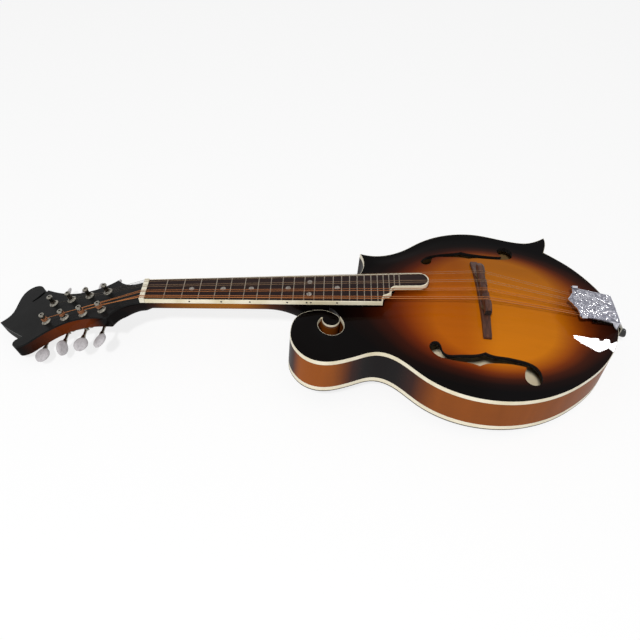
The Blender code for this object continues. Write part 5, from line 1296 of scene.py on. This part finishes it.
def make_post(side, index):
    tag = f"{side}_{index + 1}"
    place = HEAD @ moved(POST_PLACES[index], ROW_Y[side], 0.0)
    profile = [(0.0022, GEAR_TOP), (0.0030, GEAR_TOP + 0.0008), (0.0030, 0.0009), (0.0027, 0.0015),
               (POST_WAIST, 0.0019), (0.0022, 0.0050), (POST_WAIST, 0.0082), (0.0028, 0.0087),
               (0.0032, 0.0091), (0.0032, 0.0103), (0.0029, 0.0108), (0.0022, 0.0110),
               (0.0013, 0.01102), (0.0012, 0.0100)]
    bm = bmesh.new()
    add_loft(bm, turned_rings(profile, 32))
    teeth = [0.0025, 0.0031, 0.0031, 0.0025] * 12
    add_loft(bm, [ring(teeth, GEAR_TOP), ring(teeth, GEAR_TOP - GEAR_HEIGHT)])
    place_piece(f"string_post_{tag}", bm, place, "aged_nickel", body=f"post_{tag}",
                stands_for=f"tuner_post_{tag}", sharp=32.0)
    profile = [(POST_BORE, -0.0040), (0.0038, -0.0040), (0.0038, 0.0001), (0.0051, 0.0001), (0.0052, 0.0004),
               (0.0048, 0.0009), (0.0041, 0.0011), (0.0038, 0.0015), (POST_BORE, 0.0016)]
    turned(f"ferrule_{tag}", profile, place, "aged_nickel", 36, True, stands_for=f"bushing_{tag}",
           sharp=50.0)


def make_button(side, index):
    """Worm, shaft, collar and pearloid button, turning on the shaft."""
    tag = f"{side}_{index + 1}"
    way = WAY[side]
    centre = (0.0475 if index == 3 else 0.0425) - abs(ROW_Y[side])
    place = HEAD @ moved(POST_PLACES[index] - WORM_OFFSET, ROW_Y[side], SHAFT_Z)
    place = place @ turn_y(BUTTON_TURNS[side][index])
    neck = centre - 0.0095

    sections = []
    for share in np.linspace(0.0, 1.0, 21):
        reach = math.sin(math.pi * (0.045 + 0.91 * share)) ** 0.55
        wide, thick = 0.0074 * reach, 0.0024 * reach ** 0.7
        sections.append([(wide * bulged(x, 0.85), way * (neck + 0.0180 * share), thick * bulged(z, 0.75))
                         for x, z, _ in ring([1.0] * 32)])
    lofted(f"button_{tag}", sections, place, "pearloid", body=f"button_{tag}",
           stands_for=f"tuner_button_{tag}", sharp=60.0)

    shaft = [(0.0011, -0.0056), (0.0011, -0.0028), (0.0014, -0.0028), (0.0014, 0.0028), (0.0011, 0.0028),
             (0.0011, 0.0048), (0.0019, 0.0048), (0.0020, 0.0058), (0.0016, 0.0064),
             (0.0015, neck - 0.0040), (0.0020, neck - 0.0034), (0.0026, neck - 0.0002),
             (0.0026, neck + 0.0012), (0.0010, neck + 0.0018)]
    sections = [[(x, way * height, z) for x, z, _ in ring([radius] * 24)] for radius, height in shaft]
    lofted(f"tuner_shaft_{tag}", sections, place, "aged_nickel", body=f"button_{tag}", sharp=32.0)

    thread = ((-0.0002, -0.0004), (0.00035, -0.0001), (0.00035, 0.0001), (-0.0002, 0.0004))
    sections = [[((0.0013 + out) * math.cos(turn), way * (0.0050 * share - 0.0025 + up),
                  (0.0013 + out) * math.sin(turn)) for out, up in thread]
                for share, turn in circling(5.0, 60)]
    lofted(f"worm_{tag}", sections, place, "aged_nickel", body=f"button_{tag}", sharp=32.0)


def make_tuners():
    for side in ("bass", "treble"):
        dress(NODES["tuner_plate_" + side], "aged_nickel", 0.00025)
        for index in range(4):
            make_post(side, index)
            make_button(side, index)
        screws = [POST_PLACES[0] + 0.0045, *(x + 0.0100 for x in POST_PLACES[1:]), POST_PLACES[3] - 0.0066]
        for index, x in enumerate(screws):
            place = HEAD @ moved(x, ROW_Y[side], PLATE_TOP - PLATE_SHEET)
            screw(f"plate_screw_{side}_{index + 1}", place @ Matrix.Rotation(math.pi, 4, "X"), 0.0016)


# Strings

# Width over the four pairs and gap within a pair, at the hooks, the saddle and the nut
HOOK_SPREAD, SADDLE_SPREAD, NUT_SPREAD = (0.0250, 0.0028), (0.0400, 0.0028), (0.0244, 0.0024)


def pair_y(pair, member, spread):
    width, gap = spread
    return -width / 2.0 + width * pair / 3.0 + (member - 0.5) * gap


def post_of(letter, member):
    if letter in "gd":
        return "bass", member + (2 if letter == "d" else 0)
    return "treble", (3 - member) if letter == "a" else (1 - member)


def shelf_height(x):
    front_x, rear_x = 0.2620, 0.2890
    front_z = cover_top(front_x) - COVER_SHEET - 0.0078
    rear_z = cover_top(0.2905) - COVER_SHEET - 0.0040
    return front_z + (rear_z - front_z) * (x - front_x) / (rear_x - front_x)


def span(start, end, count):
    return [start.lerp(end, step / count) for step in range(count + 1)]


def make_string(letter, pair, member):
    name = f"string_{letter}{member + 1}"
    radius = STRING_WIDTH[letter] / 2.0
    wound = letter in "gd"
    finish = "bronze_wound" if wound else "warm_steel"
    side, index = post_of(letter, member)
    post = f"post_{side}_{index + 1}"
    way = WAY[side]
    hook_y, saddle_y, nut_y = (pair_y(pair, member, spread)
                               for spread in (HOOK_SPREAD, SADDLE_SPREAD, NUT_SPREAD))
    hook = Vector((HOOK_X, hook_y, shelf_height(HOOK_X) + 0.0032))
    saddle = Vector((BRIDGE_X, saddle_y, BRIDGE_STRING_Z + 0.0001))
    nut_rear = NECK_ON_BODY @ Vector((0.0, nut_y, radius + NUT_BED))
    nut_front = NECK_ON_BODY @ Vector((-NUT_LENGTH + 0.0004, nut_y, radius + NUT_BED))

    rear = wire(name + "_to_tailpiece", span(saddle, hook, 16), radius, finish, body=None)
    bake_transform(rear)
    speaking = wire(name + "_speaking", [nut_front] + span(nut_rear, saddle, 40), radius, finish, body=None)
    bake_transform(speaking)

    centre = (POST_PLACES[index], ROW_Y[side])
    coil_radius = POST_WAIST + GAP + radius
    reach = (HEAD_ON_BODY.inverted() @ nut_front).xy - Vector(centre)
    first = math.atan2(reach.y, reach.x) - way * math.acos(coil_radius / reach.length)
    height = 0.0018 + radius + GAP + (0.0021 if index % 2 == 0 else 0.0)
    turns = {"g": 4.5, "d": 5.5, "a": 4.25, "e": 4.25}[letter]
    rise = 2.0 * radius + 0.00004
    coil = []
    for share, run in circling(turns, int(turns * 24)):
        turn = first + way * run
        coil.append(Vector((*polar(coil_radius, turn, centre), height + rise * turns * share)))
    leave = Vector((*polar(way, turn + math.pi / 2.0), 0.25))
    inward = Vector((*polar(-1.0, turn), 0.0))
    tip = coil[-1]
    coil += [tip + leave * 0.0010, tip + leave * 0.0018 + inward * 0.0008]
    coil = [HEAD_ON_BODY @ point for point in coil]
    # On the headstock the plain strings take the darker steel: painted shade on the same wire.
    wire(name + "_coil", coil, radius, "copper_wound" if wound else "dark_steel", body=post)
    tangent = coil[0]
    lead = wire(name + "_head_run", span(nut_front, tangent, 24), radius, finish if wound else "dark_steel",
                body=None)
    near = nut_front.lerp(tangent, 1.0 - 0.0035 / (tangent - nut_front).length)
    BODY @ near
    BODY @ tangent
    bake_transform(lead)
    for piece in (rear, speaking, lead):
        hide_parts(name)

    toward = (saddle - hook).normalized()
    twist = [hook + toward * (0.0010 + 0.0110 * share) + Vector((0.0, *polar(radius + 0.00024, turn)))
             for share, turn in circling(7.0, 60)]
    wire(name + "_loop_twist", twist, 0.00022, "plain_steel", 6)
    eye = [hook + Vector((0.0012 - 0.0018 * math.cos(turn), 0.0012 * math.sin(turn), -0.0002))
           for _, turn in circling(1.0, 24)]
    wire(name + "_loop_eye", eye, 0.00025, "plain_steel", 6)


def make_strings():
    for pair, letter in enumerate("gdae"):
        for member in (0, 1):
            make_string(letter, pair, member)


# Studio

# Corners of the reflected window on the top, in the body's frame, and the pane's distance from there
WINDOW_MARKS = ((0.2312, -0.0300), (0.2510, -0.0260), (0.2675, -0.0254), (0.2632, -0.0437),
                (0.2584, -0.0524), (0.2482, -0.0452), (0.2386, -0.0381))
WINDOW_DISTANCE, WINDOW_STRENGTH = 0.3, 400.0
FLOOR_HALF = 6.0
CAMERA_PLACE, CAMERA_TILT = (-0.0041, -0.5353, 0.5045), 4.06


def make_camera():
    data = bpy.data.cameras.new("camera")
    data.sensor_fit = "HORIZONTAL"
    data.sensor_width = 36.0
    data.lens = 39.375
    data.clip_start, data.clip_end = 0.01, 100.0
    camera = new_object("camera", data)
    ahead = Vector((-0.0227, 0.7045, -0.7093)).normalized()
    right = Vector((0.9995, 0.0321, 0.0)).normalized()
    above = right.cross(ahead).normalized()
    right = ahead.cross(above).normalized()
    seen = Matrix((right, above, -ahead)).transposed().to_4x4()
    seen.translation = CAMERA_PLACE
    camera.matrix_world = BODY @ turn_y(-CAMERA_TILT) @ seen
    bpy.context.scene.camera = camera
    return camera


def area_light(name, place, target, size, power):
    data = bpy.data.lights.new(name, "AREA")
    data.shape = "RECTANGLE"
    data.size, data.size_y = size
    data.energy = power
    lamp = new_object(name, data)
    lamp.location = place
    lamp.rotation_mode = "QUATERNION"
    lamp.rotation_quaternion = (Vector(target) - Vector(place)).to_track_quat("-Z", "Y")
    lamp.visible_glossy = False


def stage_sheet(name, corners, material):
    """One flat face of the studio."""
    mesh = bpy.data.meshes.new(name)
    mesh.from_pydata(corners, [], [tuple(range(len(corners)))])
    mesh.materials.append(material)
    sheet = new_object(name, mesh)
    return sheet


def make_studio():
    scene = bpy.context.scene
    scene.view_settings.view_transform = "Standard"
    scene.world = bpy.data.worlds.new("studio")
    sky = Graph(scene.world)
    sky.tree.nodes.clear()
    soft, white = (sky.node("Background", None, {"Color": WHITE, "Strength": strength})
                   for strength in (0.44, 1.0))
    sky.node("OutputWorld", None, {0: sky.mix(sky.seen_by_eye(), soft, white)})

    pale = Finish("pale_floor", base_color=(0.90, 0.90, 0.90, 1.0), roughness=0.9, specular_ior_level=0.1)
    lit = Flow(pale, pale.shader.outputs[0])
    glow = pale.node("Emission", None, {"Color": WHITE})
    pale.feed(pale.tree.nodes["Material Output"].inputs[0], pale.mix(pale.seen_by_eye() * 0.80, lit, glow))
    corners = [(FLOOR_HALF * x, FLOOR_HALF * y, 0.0) for x, y in ((-1, -1), (1, -1), (1, 1), (-1, 1))]
    stage_sheet("floor", corners, pale.material)
    area_light("key_light", (-0.49, -1.27, 1.74), (0.05, 0.0, 0.03), (0.15, 0.15), 33.0)


def mirror_place(camera, x, y):
    """Point of the room that the top shows as a reflection at body place (x, y)."""
    step = 0.0006
    slope_x = (top_at(x + step, y) - top_at(x - step, y)) / (2.0 * step)
    slope_y = (top_at(x, y + step) - top_at(x, y - step)) / (2.0 * step)
    normal = Vector((-slope_x, -slope_y, 1.0)).normalized()
    spot = BODY @ Vector((x, y, top_at(x, y)))
    normal = BODY.to_3x3() @ normal
    ray = (spot - camera.matrix_world.translation).normalized()
    return spot + ray.reflect(normal) * WINDOW_DISTANCE


def make_window(camera):
    """A bright pane of the studio that only glossy surfaces show."""
    material = bpy.data.materials.new("window_pane")
    glass = Graph(material)
    glass.tree.nodes.clear()
    glow = glass.node("Emission", None, {"Strength": WINDOW_STRENGTH})
    seen = glass.mix(glass.node("LightPath", output="Is Glossy Ray"), glass.node("BsdfTransparent"), glow)
    glass.node("OutputMaterial", None, {0: seen})
    pane = stage_sheet("window_pane", [mirror_place(camera, x, y) for x, y in WINDOW_MARKS], material)
    pane.visible_shadow = False


camera = make_camera()
make_studio()
make_body()
make_neck()
make_fingerboard()
make_bridge()
make_tailpiece()
make_tuners()
make_strings()
dress(NODES["nut"], "bone_nut", 0.0004)
dress(NODES["truss_rod"], "plain_steel", 0.0003)
for wooden in ("neck_block", "tail_block", "upper_point_block", "lower_point_block", "bass_tone_bar",
               "treble_tone_bar"):
    dress(NODES[wooden], "spruce_painted_shade", 0.0004)
make_window(camera)
